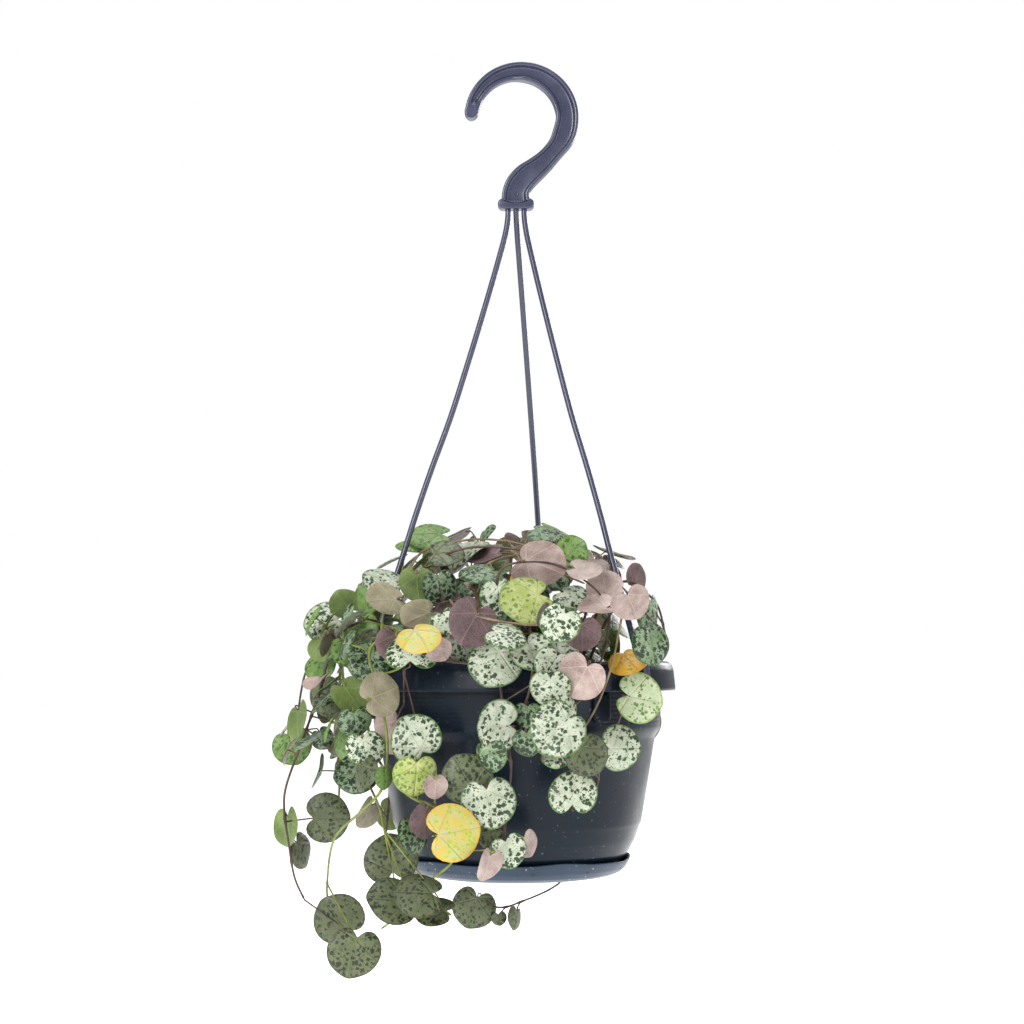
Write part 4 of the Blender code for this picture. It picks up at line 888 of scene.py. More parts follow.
def uPlate(inner, outer, turn):
    # a plate with a round-bottomed slot that is open at its top, extruded from inner to outer radius
    half, slot = potShape["lugHalfWidth"], potShape["lugSlotHalf"]
    bend = np.linspace(0, math.pi, 13)
    bottom = potShape["lugSlotBottom"] + slot
    arc = np.stack([slot * np.cos(bend), bottom - slot * np.sin(bend)], -1)
    low, high = potShape["lugBottom"], potShape["lugTop"]
    outline = np.vstack([
        [[slot, high]], arc, [[-slot, high], [-half, high], [-half, low + 1.4], [-half + 1.4, low]],
        [[half - 1.4, low], [half, low + 1.4], [half, high]],
    ])
    levels = [(inner, 0.0), (outer - 0.35, 0.0), (outer - 0.1, 0.12), (outer, 0.35)]
    wide = np.sign(outline[:, 0]) * (np.abs(outline[:, 0]) > slot + 0.1)
    slim = np.sign(outline[:, 0]) * (np.abs(outline[:, 0]) <= slot + 0.1)
    rings = []
    for radius, inset in levels:
        across = outline[:, 0] - wide * inset + slim * inset * 0.6
        up = outline[:, 1] + inset * (outline[:, 1] < low + 1.5)
        rings.append(np.stack([np.full(len(across), radius), across, up + potSizes["rimZ"]], -1))
    rings = np.array(rings)
    count = len(outline)
    points = placedAt(rings.reshape(-1, 3), turn)
    quads = gridFaces(len(rings), count, True)
    # the flat ends: a strip between the slot's edge and the outer edge
    inside, rim = list(range(0, 15)), list(range(count - 1, 14, -1))
    pairs = list(zip(np.linspace(0, len(rim) - 1, len(inside)).round().astype(int), inside))
    tris = []
    for (ra, ia), (rb, ib) in zip(pairs[:-1], pairs[1:]):
        tris.append((rim[ra], ia, ib))
        for k in range(ra, rb):
            tris.append((rim[k], ib, rim[k + 1]))
    tris = np.array(tris)
    base = (len(rings) - 1) * count
    return shell(points, quads, np.vstack([tris, tris[:, ::-1] + base]))


def buildPot():
    # the rounded profile is turned about Z, and has finer rows on the collar, where the ridges are
    material = mouldedPlastic("mouldedPolypropylenePot", potLook)
    profile = rounded(np.array(potShape["profile"]), potShape["cornerMm"], 4)
    profile = divided(profile, potShape["spacing"])
    low, high = potShape["collar"]
    collar = (profile[:, 0] > low) & (profile[:, 0] < high) & (profile[:, 1] < -3)
    first, last = np.flatnonzero(collar)[[0, -1]]
    fine = divided(profile[first : last + 1], potShape["ridgeSpacing"])
    profile = np.vstack([profile[:first], fine, profile[last + 1 :]])
    profile[:, 1] += potSizes["rimZ"]
    body = turned(profile, potShape["steps"], lambda r, z, a: potWiden(r, z - potSizes["rimZ"], a))
    lugs = [uPlate(*potShape["lugDepth"], at + potShape["lugTurn"]) for at in hangerSizes["strandAt"]]
    makePiece("hangingPot", [body], [material], ["pot"])
    makePiece("hangerLugs", lugs, [material])


# drip tray: the same plastic with pale dust specks; its paler base tones are painted light, for the light it
# takes from below

trayLitLook = dict(potLook, base="#27323f", light="#3e4a5b", dust="#b9bec2", dustFrom=0.695, roughness=0.36)
trayShape = {
    "steps": 240,
    "footZ": potSizes["rimZ"] - potSizes["potHeight"] - potSizes["gap"] - 2.3,
    "profile": (
        (0.0, 2.3), (40.0, 2.3), (42.6, 3.2), (44.3, 4.9), (45.5, 7.4), (46.3, 7.9), (47.1, 7.7), (46.6, 6.4),
        (45.1, 3.8), (43.0, 1.9), (40.4, 0.8), (36.0, 0.0), (34.0, 0.0), (33.0, 0.9), (0.0, 0.9),
    ),
    "ribs": 12,
    "ribTurn": -82.0,
    "ribFrom": (43.9, -0.45, 4.0),
    "ribTo": (45.6, 0.45, 7.0),
}


def trayWave(r, z, angle):
    # the thin lip is a little out of true: three waves that fade below it
    lip = np.clip((z - trayShape["footZ"] - 3) / 4, 0, 1)
    return lip * (0.45 * np.sin(5 * angle + 0.8) + 0.25 * np.sin(3 * angle) + 0.18 * np.sin(11 * angle + 2.0))


def smallBlock(low, high, turn):
    # a rib with a rounded top edge
    (x0, y0, z0), (x1, y1, z1) = low, high
    mid = (y0 + y1) / 2
    section = np.array([
        [y0, z0], [y0, z1 - 0.3], [mid - 0.15, z1], [mid + 0.15, z1], [y1, z1 - 0.3], [y1, z0],
    ])
    rings = np.array([[[x, y, z] for y, z in section] for x in (x0, x1)])
    return loft(placedAt(rings.reshape(-1, 3), turn).reshape(rings.shape))


def buildTray():
    # the profile turned about Z with a wavy lip, and small upright ribs inside it
    material = mouldedPlastic("mouldedPolypropyleneTray", trayLitLook)
    profile = divided(rounded(np.array(trayShape["profile"]), 0.5, 4), 1.5)
    profile[:, 1] += trayShape["footZ"]
    body = turned(profile, trayShape["steps"], raiseBy=trayWave)
    (x0, y0, z0), (x1, y1, z1) = trayShape["ribFrom"], trayShape["ribTo"]
    low, high = (x0, y0, trayShape["footZ"] + z0), (x1, y1, trayShape["footZ"] + z1)
    turns = [trayShape["ribTurn"] + 360.0 * k / trayShape["ribs"] for k in range(trayShape["ribs"])]
    makePiece("dripTray", [body], [material], ["saucer"])
    makePiece("trayRibs", [smallBlock(low, high, turn) for turn in turns], [material])


# hanger: one polypropylene moulding, purple grey with a satin skin

hangerLook = dict(
    potLook, base="#2c2f42", light="#3b3e54", dust="#7c7c98", dustFrom=0.74, roughness=0.26, flowMm=9.0,
    grainMm=2.6, bumpMm=0.03, specular=0.55,
)
hookShape = {
    "inner": 16.7,
    "outer": 24.4,
    "outerShift": 1.9,
    "tipAngle": 172.0,
    "halfDepth": 2.9,
    "edge": 1.7,
    "webHalf": 0.9,
    "fillet": 0.75,
    "innerDrop": 0.4,
    "barNarrow": 1.0,
    "pinMark": (-0.1, -49.4, 0.85),
    "tipTurns": (78, 66, 52, 38, 24, 10),
    "perSpan": 6,
    "webFrom": 8,
    "webEase": 5,
    "innerLowTo": 44,
    "wallRun": 0.35,
    "barZ": (-55.9, -51.4),
    "barX": (-8.1, 7.3),
    "neckInner": (
        (15.4, -21.7), (13.6, -26.5), (9.6, -31.2), (5.0, -34.6), (0.2, -37.7), (-3.8, -42.2), (-6.0, -47.4),
        (-6.6, -52.6), (-6.7, -54.4),
    ),
    "neckOuter": (
        (25.6, -22.6), (23.2, -28.0), (19.0, -33.0), (15.2, -37.6), (11.2, -41.9), (7.2, -46.0), (5.2, -49.2),
        (5.6, -52.6), (5.9, -54.4),
    ),
}


def smoothThrough(points, per):
    # a Catmull-Rom curve with `per` steps between neighbouring points
    p = np.vstack([2 * points[0] - points[1], points, 2 * points[-1] - points[-2]])
    t = (np.arange(per) / per)[None, :, None]
    a, b, c, d = (p[k : len(p) - 3 + k][:, None] for k in range(4))
    curve = 0.5 * (2 * b + (c - a) * t + (2 * a - 5 * b + 4 * c - d) * t**2 + (3 * b - a - 3 * c + d) * t**3)
    return np.vstack([curve.reshape(-1, points.shape[1]), points[-1:]])


def hookShell():
    # rings along the hook; each is the I-shaped section between its inner and outer edge, corners eased
    s = hookShape
    angle = np.radians(np.linspace(s["tipAngle"], 2, 13))
    inner = np.stack([s["inner"] * np.cos(angle), s["inner"] * (np.sin(angle) - 1)], -1)
    outerX = s["outerShift"] + s["outer"] * np.cos(angle)
    outer = np.stack([outerX, s["outer"] * np.sin(angle) - s["inner"]], -1)
    inner = smoothThrough(np.vstack([inner, s["neckInner"]]), s["perSpan"])
    outer = smoothThrough(np.vstack([outer, s["neckOuter"]]), s["perSpan"])
    # the tip is a half round of further rings
    middle, half = (inner[0] + outer[0]) / 2, (outer[0] - inner[0]) / 2
    ahead = np.array([-half[1], half[0]])
    ahead *= -1 if ahead[1] > 0 else 1
    turn = np.radians(s["tipTurns"])[:, None]
    inner = np.vstack([middle + ahead * np.sin(turn) - half * np.cos(turn), inner])
    outer = np.vstack([middle + ahead * np.sin(turn) + half * np.cos(turn), outer])
    width = np.linalg.norm(outer - inner, axis=1)
    along = (outer - inner) / width[:, None]
    # the web sinks in a smooth step after the tip, and rises to the rims again at the bar
    row = np.arange(len(width))
    sunk = np.clip((row - s["webFrom"]) / s["webEase"], 0, 1)
    sunk *= np.clip((len(width) - 2 - row) / s["webEase"], 0, 1)
    sunk = sunk * sunk * (3 - 2 * sunk)
    h = s["halfDepth"]
    edge = np.minimum(s["edge"], width * 0.3)
    floor = h + (s["webHalf"] - h) * sunk - 0.01
    zero = np.zeros(len(width))
    # left of the crown the inner rim is lower
    lower = h - s["innerDrop"] * (h - floor) * np.clip((s["innerLowTo"] - row) / 6, 0, 1)
    run = s["wallRun"]
    upper = [
        (zero, lower), (edge, lower), (edge + run, floor), (width - edge - run, floor),
        (width - edge, zero + h), (width, zero + h),
    ]
    section = np.array(upper + [(a, -b) for a, b in reversed(upper)]).transpose(2, 0, 1)
    section = rounded(section, s["fillet"], 4, closed=True)
    x = inner[:, None, 0] + along[:, None, 0] * section[..., 0]
    z = inner[:, None, 1] + along[:, None, 1] * section[..., 0]
    return loft(np.stack([x, section[..., 1], z], -1))


def barShell():
    # a lying capsule, slimmer between its round ends, drawn in at its front and back by a quarter round
    s = hookShape
    radius = (s["barZ"][1] - s["barZ"][0]) / 2
    right, left = s["barX"][1] - radius, s["barX"][0] + radius
    angle = np.radians(np.linspace(-90, 90, 15))
    turn = np.radians(np.linspace(0, 90, 6))
    deep = s["halfDepth"] + 0.2
    levels = [(-deep + 0.8 * (1 - math.cos(t)), 0.8 * (1 - math.sin(t))) for t in turn]
    levels += [(-y, inset) for y, inset in reversed(levels)]
    middle = sum(s["barZ"]) / 2
    along = np.linspace(right, left, 11)[1:-1]
    dip = s["barNarrow"] * (1 - ((2 * along - right - left) / (right - left)) ** 6)
    rings = []
    for y, inset in levels:
        r = radius - inset
        x = np.concatenate([right + r * np.cos(angle), along, left - r * np.cos(angle), along[::-1]])
        z = np.concatenate([r * np.sin(angle), r - dip, -r * np.sin(angle), 0 * along - r])
        rings.append(np.stack([x, np.full(len(x), y), middle + z], -1))
    return loft(np.array(rings))


def pinShell():
    # the small round mark that an ejector pin leaves on the web
    x, z, radius = hookShape["pinMark"]
    angle = np.linspace(0, 2 * math.pi, 20, endpoint=False)
    levels = ((-0.5, 1.0), (-1.1, 0.95), (-1.3, 0.75), (-1.25, 0.45))
    rings = [
        np.stack([x + radius * k * np.cos(angle), np.full(20, y), z + radius * k * np.sin(angle)], -1)
        for y, k in levels
    ]
    return loft(np.array(rings))


strandShape = {"sides": 16, "bow": (2.2, -1.5, 0.0), "bowTop": -55.0, "bowLength": 180.0, "squared": 0.45}


def strandShell(number):
    # round above and flat at the clip: half-axes blend over 4 mm, and the section is a squared ellipse there
    path = strandPath(number, 1.0)
    # the slight bow of each strand, most in its upper third: B sin(pi u^0.6) as u runs down it
    down = np.clip((strandShape["bowTop"] - path[:, 2]) / strandShape["bowLength"], 0, 1)
    path[:, 0] += strandShape["bow"][number] * np.sin(math.pi * down**0.6)
    angle = math.radians(hangerSizes["strandAt"][number])
    flatness = np.clip((hangerSizes["tabFromZ"] - path[:, 2]) / 4.0, 0, 1)[:, None]
    round0 = hangerSizes["strandRadius"]
    wide = round0 + (hangerSizes["tabHalfWidth"] - round0) * flatness
    thick = round0 + (hangerSizes["tabHalfThick"] - round0) * flatness
    ways = np.gradient(path, axis=0)
    ways /= np.linalg.norm(ways, axis=1)[:, None]
    side = np.array([-math.sin(angle), math.cos(angle), 0.0])
    side = side - ways * (ways @ side)[:, None]
    side /= np.linalg.norm(side, axis=1)[:, None]
    up = np.cross(ways, side)
    turn = 2 * math.pi * (np.arange(strandShape["sides"]) + 0.5) / strandShape["sides"]
    power = 1 - strandShape["squared"] * flatness
    u = np.sign(np.cos(turn)) * np.abs(np.cos(turn)) ** power * wide
    v = np.sign(np.sin(turn)) * np.abs(np.sin(turn)) ** power * thick
    return loft(path[:, None] + side[:, None] * u[..., None] + up[:, None] * v[..., None])


def buildHanger():
    material = mouldedPlastic("mouldedPolypropyleneHanger", hangerLook)
    makePiece("hangingHook", [hookShell(), barShell(), pinShell()], [material], ["hanger"])
    makePiece("hangerStrands", [strandShell(k) for k in range(3)], [material])


# peat soil: dark loose fibre with crumbs

soilLook = {"dark": "#1d1511", "brown": "#4a3628", "fibre": "#7a6048", "clodMm": 6.0, "grainMm": 1.1}
soilShape = {
    "steps": 96, "rings": 26, "radius": 57.4, "bumpMm": 0.55, "crumbs": 220, "crumbMm": (0.5, 1.3),
    "heapAt": (0, 30, 50, 57.4), "heapRise": (2.0, 1.4, 0.3, -0.6), "lumpsWithin": 55, "crumbsWithin": 54,
}


def crumbForm():
    # an icosahedron: two poles with a ring of five points under each, and the faces between the two caps
    a = np.array([
        (0, 0, 1), (0.9, 0, 0.45), (0.28, 0.85, 0.45),
        (-0.72, 0.53, 0.45), (-0.72, -0.53, 0.45), (0.28, -0.85, 0.45),
    ])
    ball = np.vstack([a, -a])
    tris = [(0, k, k % 5 + 1) for k in range(1, 6)] + [(6, 6 + k % 5 + 1, 6 + k) for k in range(1, 6)]
    # between the two caps, each point faces the two of the other cap that lie nearest to it
    tris += [(k, *(np.argsort(-(ball[7:] @ ball[k]))[:2] + 7)) for k in range(1, 6)]
    tris += [(k, *(np.argsort(-(ball[1:6] @ ball[k]))[:2] + 1)) for k in range(7, 12)]
    tris = np.array(tris)
    across = np.cross(ball[tris[:, 1]] - ball[tris[:, 0]], ball[tris[:, 2]] - ball[tris[:, 0]])
    facing = np.einsum("ij,ij->i", ball[tris].mean(1), across)
    tris[facing < 0] = tris[facing < 0][:, ::-1]
    return ball, tris


def buildSoil():
    # dull and open: fine grain breaks up the light, with paler bits of fibre
    material, add = startMaterial("peatSoil", {"Roughness": 0.95, "Specular IOR Level": 0.2})
    place = add("TexCoord", {}, "Object")
    clods = add("TexNoise", {"Vector": place, "Scale": 1000 / soilLook["clodMm"], "Detail": 6.0}, "Fac")
    grain = add("TexVoronoi", {"Vector": place, "Scale": 1000 / soilLook["grainMm"]}, "Distance")
    tint = {0: clods, 6: colour(soilLook["dark"]), 7: colour(soilLook["brown"])}
    tint = add("Mix", tint, 2, data_type="RGBA")
    pale = add("MapRange", {0: grain, 1: 0.62, 2: 0.75, 3: 0.0, 4: 0.6}, interpolation_type="SMOOTHSTEP")
    body = add("Mix", {0: pale, 6: tint, 7: colour(soilLook["fibre"])}, 2, data_type="RGBA")
    bump = add("Bump", {"Strength": 0.9, "Distance": 0.0006, "Height": clods})
    joined(material, {"Base Color": body, "Normal": bump})

    # a low heap on top, and the pot's own inner profile below it
    top = foliage["soilTopZ"]
    reach = np.linspace(0, soilShape["radius"], soilShape["rings"])
    rise = np.interp(reach, soilShape["heapAt"], soilShape["heapRise"])
    under = [(r - 0.7, z + 0.4) for r, z in potShape["profile"][1:11][::-1] if z < -8]
    profile = np.vstack([
        np.stack([reach, top + rise], -1), [(r, z + potSizes["rimZ"]) for r, z in under],
        [[0.0, potShape["profile"][0][1] + potSizes["rimZ"] + 0.4]],
    ])

    def lumps(r, z, angle):
        # clods: three crossing waves of different lengths, only on the top surface
        x, y = r * np.cos(angle), r * np.sin(angle)
        long = np.sin(x * 0.9 + 1) * np.sin(y * 0.8) + 0.7 * np.sin(x * 0.37 - y * 0.5)
        waves = long + 0.5 * np.sin(x * 1.7 + y * 1.3)
        return (z > top - 1) * (r < soilShape["lumpsWithin"]) * waves * soilShape["bumpMm"] / 2.2

    body = turned(profile, soilShape["steps"], raiseBy=lumps)
    draw = np.random.default_rng(5)
    ball, tris = crumbForm()
    crumbs = []
    for k in range(soilShape["crumbs"]):
        r, turn = soilShape["crumbsWithin"] * math.sqrt(draw.random()), draw.random() * 2 * math.pi
        size = draw.uniform(*soilShape["crumbMm"])
        height = np.interp(r, soilShape["heapAt"], soilShape["heapRise"])
        centre = np.array([r * math.cos(turn), r * math.sin(turn), top + height + size * 0.2])
        crumbs.append(shell(centre + ball * size * draw.uniform(0.7, 1.2, (12, 3)), np.empty((0, 4)), tris))
    makePiece("peatSoilFill", [body], [material], ["soil"], 60)
    makePiece("peatCrumbs", crumbs, [material], (), 20)


# leaves: thick waxy blades of the heart outline that part.py uses, domed, with a sunk midrib

leafShape = {
    "around": 36,
    "rings": (0.34, 0.66, 0.9),
    "notchDepth": (0.44, 0.57),
    "notchWidth": (0.20, 0.42),
    "lean": 0.09,
    "thickMm": 1.0,
    "rib": 0.022,
    "fold": (-0.14, 0.06),
    "saddle": 0.06,
    "wave": 0.012,
}
stemShape = {
    "sides": 8, "base": 0.66, "tip": 0.42, "knot": 0.26, "stalk": 0.36, "stalkSides": 6,
    "oliveAcross": -48, "oliveShare": 0.6, "tanAbove": 36,
}

# upper faces: pale ground, second tone, halo and dark middle of a blotch, margin, and the blotched share
topLooks = {
    "silver": ("#bcc2ae", "#a0a992", "#4f6843", "#1b2f17", "#3c6628", 0.36),
    # the greyer, darker look after silver is silver's own pattern in painted shade, for leaves that lie in
    # shadow
    "grey": ("#616949", "#545d3d", "#3f4b30", "#202a1a", "#37432a", 0.34),
    "green": ("#83957a", "#647c56", "#38552e", "#132410", "#2d4f1e", 0.42),
    "fresh": ("#7a9454", "#5f7f3a", "#4d7030", "#385c20", "#456c2a", 0.30),
    "pale": ("#b1b99c", "#9fab86", "#80995a", "#506932", "#6f8d3d", 0.25),
    "lime": ("#abb173", "#8f9e4f", "#7c9044", "#5e7335", "#74883f", 0.32),
    "yellow": ("#a9a87c", "#b8a248", "#b4ba48", "#94a438", "#c79a22", 0.30),
    "orange": ("#c9a131", "#c18b24", "#b89426", "#857a28", "#b88a1c", 0.25),
}
# undersides: ground, shade and veins
backLooks = {
    "lilac": ("#ae9c94", "#7b6660", "#c6b6ac"),
    "plum": ("#715a5b", "#433233", "#8c7473"),
    "beige": ("#958d76", "#6a654b", "#aaa388"),
    "olive": ("#728549", "#50652f", "#8b9d60"),
}
# stems: light and dark
stemLooks = {
    "purpleStem": ("#574037", "#31231f"),
    "oliveStem": ("#7c8839", "#556024"),
    "tanStem": ("#847151", "#5b4b33"),
}
leafFinish = {"Roughness": 0.42, "IOR": 1.45, "Subsurface Weight": 0.12, "Subsurface Scale": 0.001}
patternMm = {
    "patch": 4.5, "spot": 1.9, "fleck": 1.0, "ruffle": 1.4, "cell": 1.3, "cloud": 6.25, "streak": 6.25,
}


def bladeVeins(add, width):
    # five veins fan out of the notch: |sin(3.2 angle)| times the distance from it is small near each
    shape = add("Attribute", {}, "Vector", attribute_name="leafShape")
    axes = add("SeparateXYZ", {0: shape}, None)
    fromNotch = add("Math", {0: axes["Y"], 1: foliage["notchY"]}, operation="SUBTRACT")
    angle = add("Math", {0: axes["X"], 1: fromNotch}, operation="ARCTAN2")
    wave = add("Math", {0: angle, 1: 3.2}, operation="MULTIPLY")
    wave = add("Math", {0: wave}, operation="SINE")
    wave = add("Math", {0: wave}, operation="ABSOLUTE")
    square = add("Math", {0: fromNotch, 1: fromNotch}, operation="MULTIPLY")
    reach = add("Math", {0: axes["X"], 1: axes["X"], 2: square}, operation="MULTIPLY_ADD")
    reach = add("Math", {0: reach}, operation="SQRT")
    apart = add("Math", {0: wave, 1: reach}, operation="MULTIPLY")
    near = {0: apart, 1: width * 0.3, 2: width, 3: 1.0, 4: 0.0}
    line = add("MapRange", near, interpolation_type="SMOOTHSTEP")
    return line, axes["Z"], reach, apart


def leafTopMaterial(kind):
    # mature leaf, upper face: a waxy silver skin, with green spots of 1 to 2 mm in the cells between veins
    pale, second, haloTone, dark, edge, spotted = topLooks[kind]
    material, add = startMaterial(kind + "LeafTop", leafFinish)
    smooth = {"interpolation_type": "SMOOTHSTEP"}
    place = add("Attribute", {}, "Vector", attribute_name="leafMm")
    tone = add("Attribute", {}, "Fac", attribute_name="leafTone")
    veins, rim, reach, apart = bladeVeins(add, 0.03)
    shift = add("TexNoise", {"Vector": place, "Scale": 1 / patternMm["ruffle"], "Detail": 2.0}, "Color")
    bent = add("VectorMath", {0: shift, 1: (1.9, 1.9, 1.9), 2: place}, operation="MULTIPLY_ADD")
    spots = add("TexVoronoi", {"Vector": bent, "Scale": 1 / patternMm["spot"]}, "Distance")
    flecks = add("TexVoronoi", {"Vector": bent, "Scale": 1 / patternMm["fleck"]}, "Distance")
    flecks = add("Math", {0: flecks, 1: 0.16}, operation="ADD")
    spots = add("Math", {0: spots, 1: flecks, 2: 0.1}, operation="SMOOTH_MIN")
    patch = add("TexNoise", {"Vector": place, "Scale": 1 / patternMm["patch"], "Detail": 2.0}, "Fac")
    # a spot shows where its distance field is under: size + patches - veins + more at the margin - the notch
    limit = add("MapRange", {0: patch, 1: 0.3, 2: 0.7, 3: spotted - 0.10, 4: spotted + 0.10})
    margin = add("Math", {0: rim, 1: 4.0}, operation="POWER")
    for part, share in ((veins, -0.16), (margin, 0.07), (tone, 0.08)):
        limit = add("Math", {0: part, 1: share, 2: limit}, operation="MULTIPLY_ADD")
    nearNotch = add("MapRange", {0: reach, 1: 0.05, 2: 0.22, 3: -0.3, 4: 0.0}, **smooth)
    limit = add("Math", {0: limit, 1: nearNotch}, operation="ADD")
    inside = add("Math", {0: limit, 1: spots}, operation="SUBTRACT")
    halo = add("MapRange", {0: inside, 1: -0.10, 2: 0.02, 3: 0.0, 4: 0.8}, **smooth)
    blotch = add("MapRange", {0: inside, 1: -0.02, 2: 0.09, 3: 0.0, 4: 0.95}, **smooth)
    border = add("MapRange", {0: rim, 1: 0.9, 2: 0.99, 3: 0.0, 4: 0.9}, **smooth)
    ground = add("MapRange", {0: patch, 1: 0.35, 2: 0.65, 3: 1.0, 4: 0.0})
    skin = colour(pale)
    for share, over in ((ground, second), (halo, haloTone), (blotch, dark), (border, edge)):
        skin = add("Mix", {0: share, 6: skin, 7: colour(over)}, 2, data_type="RGBA")
    bright = add("MapRange", {0: tone, 1: 0.0, 2: 1.0, 3: 0.8, 4: 1.08})
    skin = add("HueSaturation", {"Value": bright, "Color": skin})
    rough = add("MapRange", {0: blotch, 1: 0.0, 2: 1.0, 3: 0.48, 4: 0.38})
    # the skin stands up like a pillow between the veins
    pillow = add("MapRange", {0: apart, 1: 0.0, 2: 0.1, 3: 0.0, 4: 1.0}, interpolation_type="SMOOTHERSTEP")
    raised = add("Math", {0: blotch, 1: 0.15, 2: pillow}, operation="MULTIPLY_ADD")
    bump = add("Bump", {"Strength": 0.6, "Distance": 0.0005, "Height": raised})
    return joined(material, {"Base Color": skin, "Roughness": rough, "Normal": bump})


def leafBackMaterial(kind):
    # mature leaf, underside: flushed skin with a fine raised net of veins in cells of patternMm["cell"]
    ground, shade, vein = backLooks[kind]
    material, add = startMaterial(kind + "LeafUnderside", leafFinish)
    place = add("Attribute", {}, "Vector", attribute_name="leafMm")
    tone = add("Attribute", {}, "Fac", attribute_name="leafTone")
    veins = bladeVeins(add, 0.05)[0]
    cloud = add("TexNoise", {"Vector": place, "Scale": 1 / patternMm["cloud"], "Detail": 5.0}, "Fac")
    net = {"Vector": place, "Scale": 1 / patternMm["cell"]}
    net = add("TexVoronoi", net, "Distance", feature="DISTANCE_TO_EDGE")
    net = add("MapRange", {0: net, 1: 0.02, 2: 0.12, 3: 0.5, 4: 0.0}, interpolation_type="SMOOTHSTEP")
    lines = add("Math", {0: net, 1: veins}, operation="MAXIMUM")
    spread = add("MapRange", {0: cloud, 1: 0.3, 2: 0.7, 3: 0.0, 4: 1.0})
    skin = add("Mix", {0: spread, 6: colour(ground), 7: colour(shade)}, 2, data_type="RGBA")
    lineShare = add("Math", {0: lines, 1: 0.4}, operation="MULTIPLY")
    skin = add("Mix", {0: lineShare, 6: skin, 7: colour(vein)}, 2, data_type="RGBA")
    bright = add("MapRange", {0: tone, 1: 0.0, 2: 1.0, 3: 0.85, 4: 1.12})
    skin = add("HueSaturation", {"Value": bright, "Color": skin})
    bump = add("Bump", {"Strength": 0.6, "Distance": 0.00015, "Height": lines})
    return joined(material, {"Base Color": skin, "Normal": bump})


def stemMaterial(kind):
    # thin woody stem: satin skin with lighter and darker patches, which the same noise raises a little
    light, dark = stemLooks[kind]
    material, add = startMaterial(kind, {"Roughness": 0.5, "IOR": 1.45})
    place = add("TexCoord", {}, "Object")
    streak = add("TexNoise", {"Vector": place, "Scale": 1000 / patternMm["streak"], "Detail": 4.0}, "Fac")
    spread = add("MapRange", {0: streak, 1: 0.35, 2: 0.65, 3: 0.0, 4: 1.0})
    skin = add("Mix", {0: spread, 6: colour(dark), 7: colour(light)}, 2, data_type="RGBA")
    bump = add("Bump", {"Strength": 0.4, "Distance": 0.0001, "Height": streak})
    return joined(material, {"Base Color": skin, "Normal": bump})


def bladeTemplate():
    # round the rim the points lie closer at the notch and the tip, and each ring is a share of the rim
    u = np.linspace(-1, 1, leafShape["around"], endpoint=False)
    turn = math.pi * (u - 0.07 * np.sin(2 * math.pi * u))
    share = np.array([*leafShape["rings"], 1.0])
    count = len(turn)
    inner, whole = len(leafShape["rings"]) * count, len(share) * count
    # points: the middle, the rings and the rim above, then the middle and the rings below
    t = np.tile(turn, len(share))
    s = np.repeat(share, count)
    t = np.concatenate([[0], t, [0], t[:inner]])
    s = np.concatenate([[0], s, [0], s[:inner]])
    face = np.concatenate([np.ones(1 + inner), np.zeros(count), -np.ones(1 + inner)])
    upper = gridFaces(len(share), count, True) + 1
    lower = gridFaces(len(share), count, True) + whole + 2
    rimStart = whole + 2 + inner
    lower = np.where(lower >= rimStart, lower - rimStart + 1 + inner, lower)
    ring = np.arange(count)
    quads = np.vstack([upper, lower[:, ::-1]])
    tris = np.vstack([fan(ring + 1, 0)[:, ::-1], fan(ring + whole + 2, whole + 1)])
    isBack = (np.arange(len(quads)) >= len(upper), np.arange(len(tris)) >= count)
    return {"t": t, "s": s, "face": face, "quads": quads, "tris": tris, "isBack": isBack}


def bladeShell(leaf, form, draw, topSlot, backSlot):
    # an ellipse with a small tip, drawn in to its middle by D exp(-(angle from the notch / width)^1.6), which
    # leans a little to one side; its height is the dome, a fold along the midrib, a saddle a (x^2 - y^2), a
    # wavy margin and a sunk midrib; above and below that lies half the thickness, T sqrt(1 - s^4) / 2
    t, s, size = form["t"], form["s"], leaf["size"]
    width, depth = draw.uniform(*leafShape["notchWidth"]), draw.uniform(*leafShape["notchDepth"])
    drawnIn = 1 - depth * np.exp(-(((math.pi - np.abs(t)) / width) ** 1.6))
    y = s * (0.475 * np.cos(t) + 0.03 * np.exp(-((t / 0.28) ** 2))) * drawnIn
    x = s * 0.5 * np.sin(t) * drawnIn + draw.uniform(-1, 1) * leafShape["lean"] * y * s
    saddle = draw.uniform(-1, 1) * leafShape["saddle"]
    fold = draw.uniform(*leafShape["fold"]) * (np.sqrt(x**2 + 0.004) - 0.18)
    wave = leafShape["wave"] * np.sin(4 * t + draw.uniform(0, 6.3)) * s**3
    rib = -leafShape["rib"] * np.exp(-((x / 0.05) ** 2)) * (1 - s**2)
    height = -foliage["bladeCup"] * 4 * (x**2 + y**2) + saddle * (x**2 - y**2) * 4 + fold + wave + rib
    thick = leafShape["thickMm"] * min(1.0, size / 14) * np.sqrt(np.maximum(1 - s**4, 0)) / 2
    points = (
        leaf["centre"]
        + np.outer(x * size, leaf["side"])
        + np.outer(y * size, leaf["ahead"])
        + np.outer(height * size + thick * form["face"], leaf["normal"])
    )
    seed = draw.uniform(0, 400)
    slots = tuple(np.where(back, backSlot, topSlot) for back in form["isBack"])
    return shell(
        points, form["quads"], form["tris"], slots,
        leafShape=np.stack([x, y, s], -1),
        leafMm=np.stack([x * size + seed, y * size - seed, np.full(len(x), seed * 0.37)], -1),
        leafTone=np.full(len(x), draw.uniform(0, 1)),
    )


def withAttributes(made):
    # stems and stalks carry the leaves' attributes too, empty, because they share their mesh
    count = len(made["points"])
    made["attributes"] = {
        "leafShape": np.zeros((count, 3)), "leafMm": np.zeros((count, 3)), "leafTone": np.full(count, 0.5),
    }
    return made


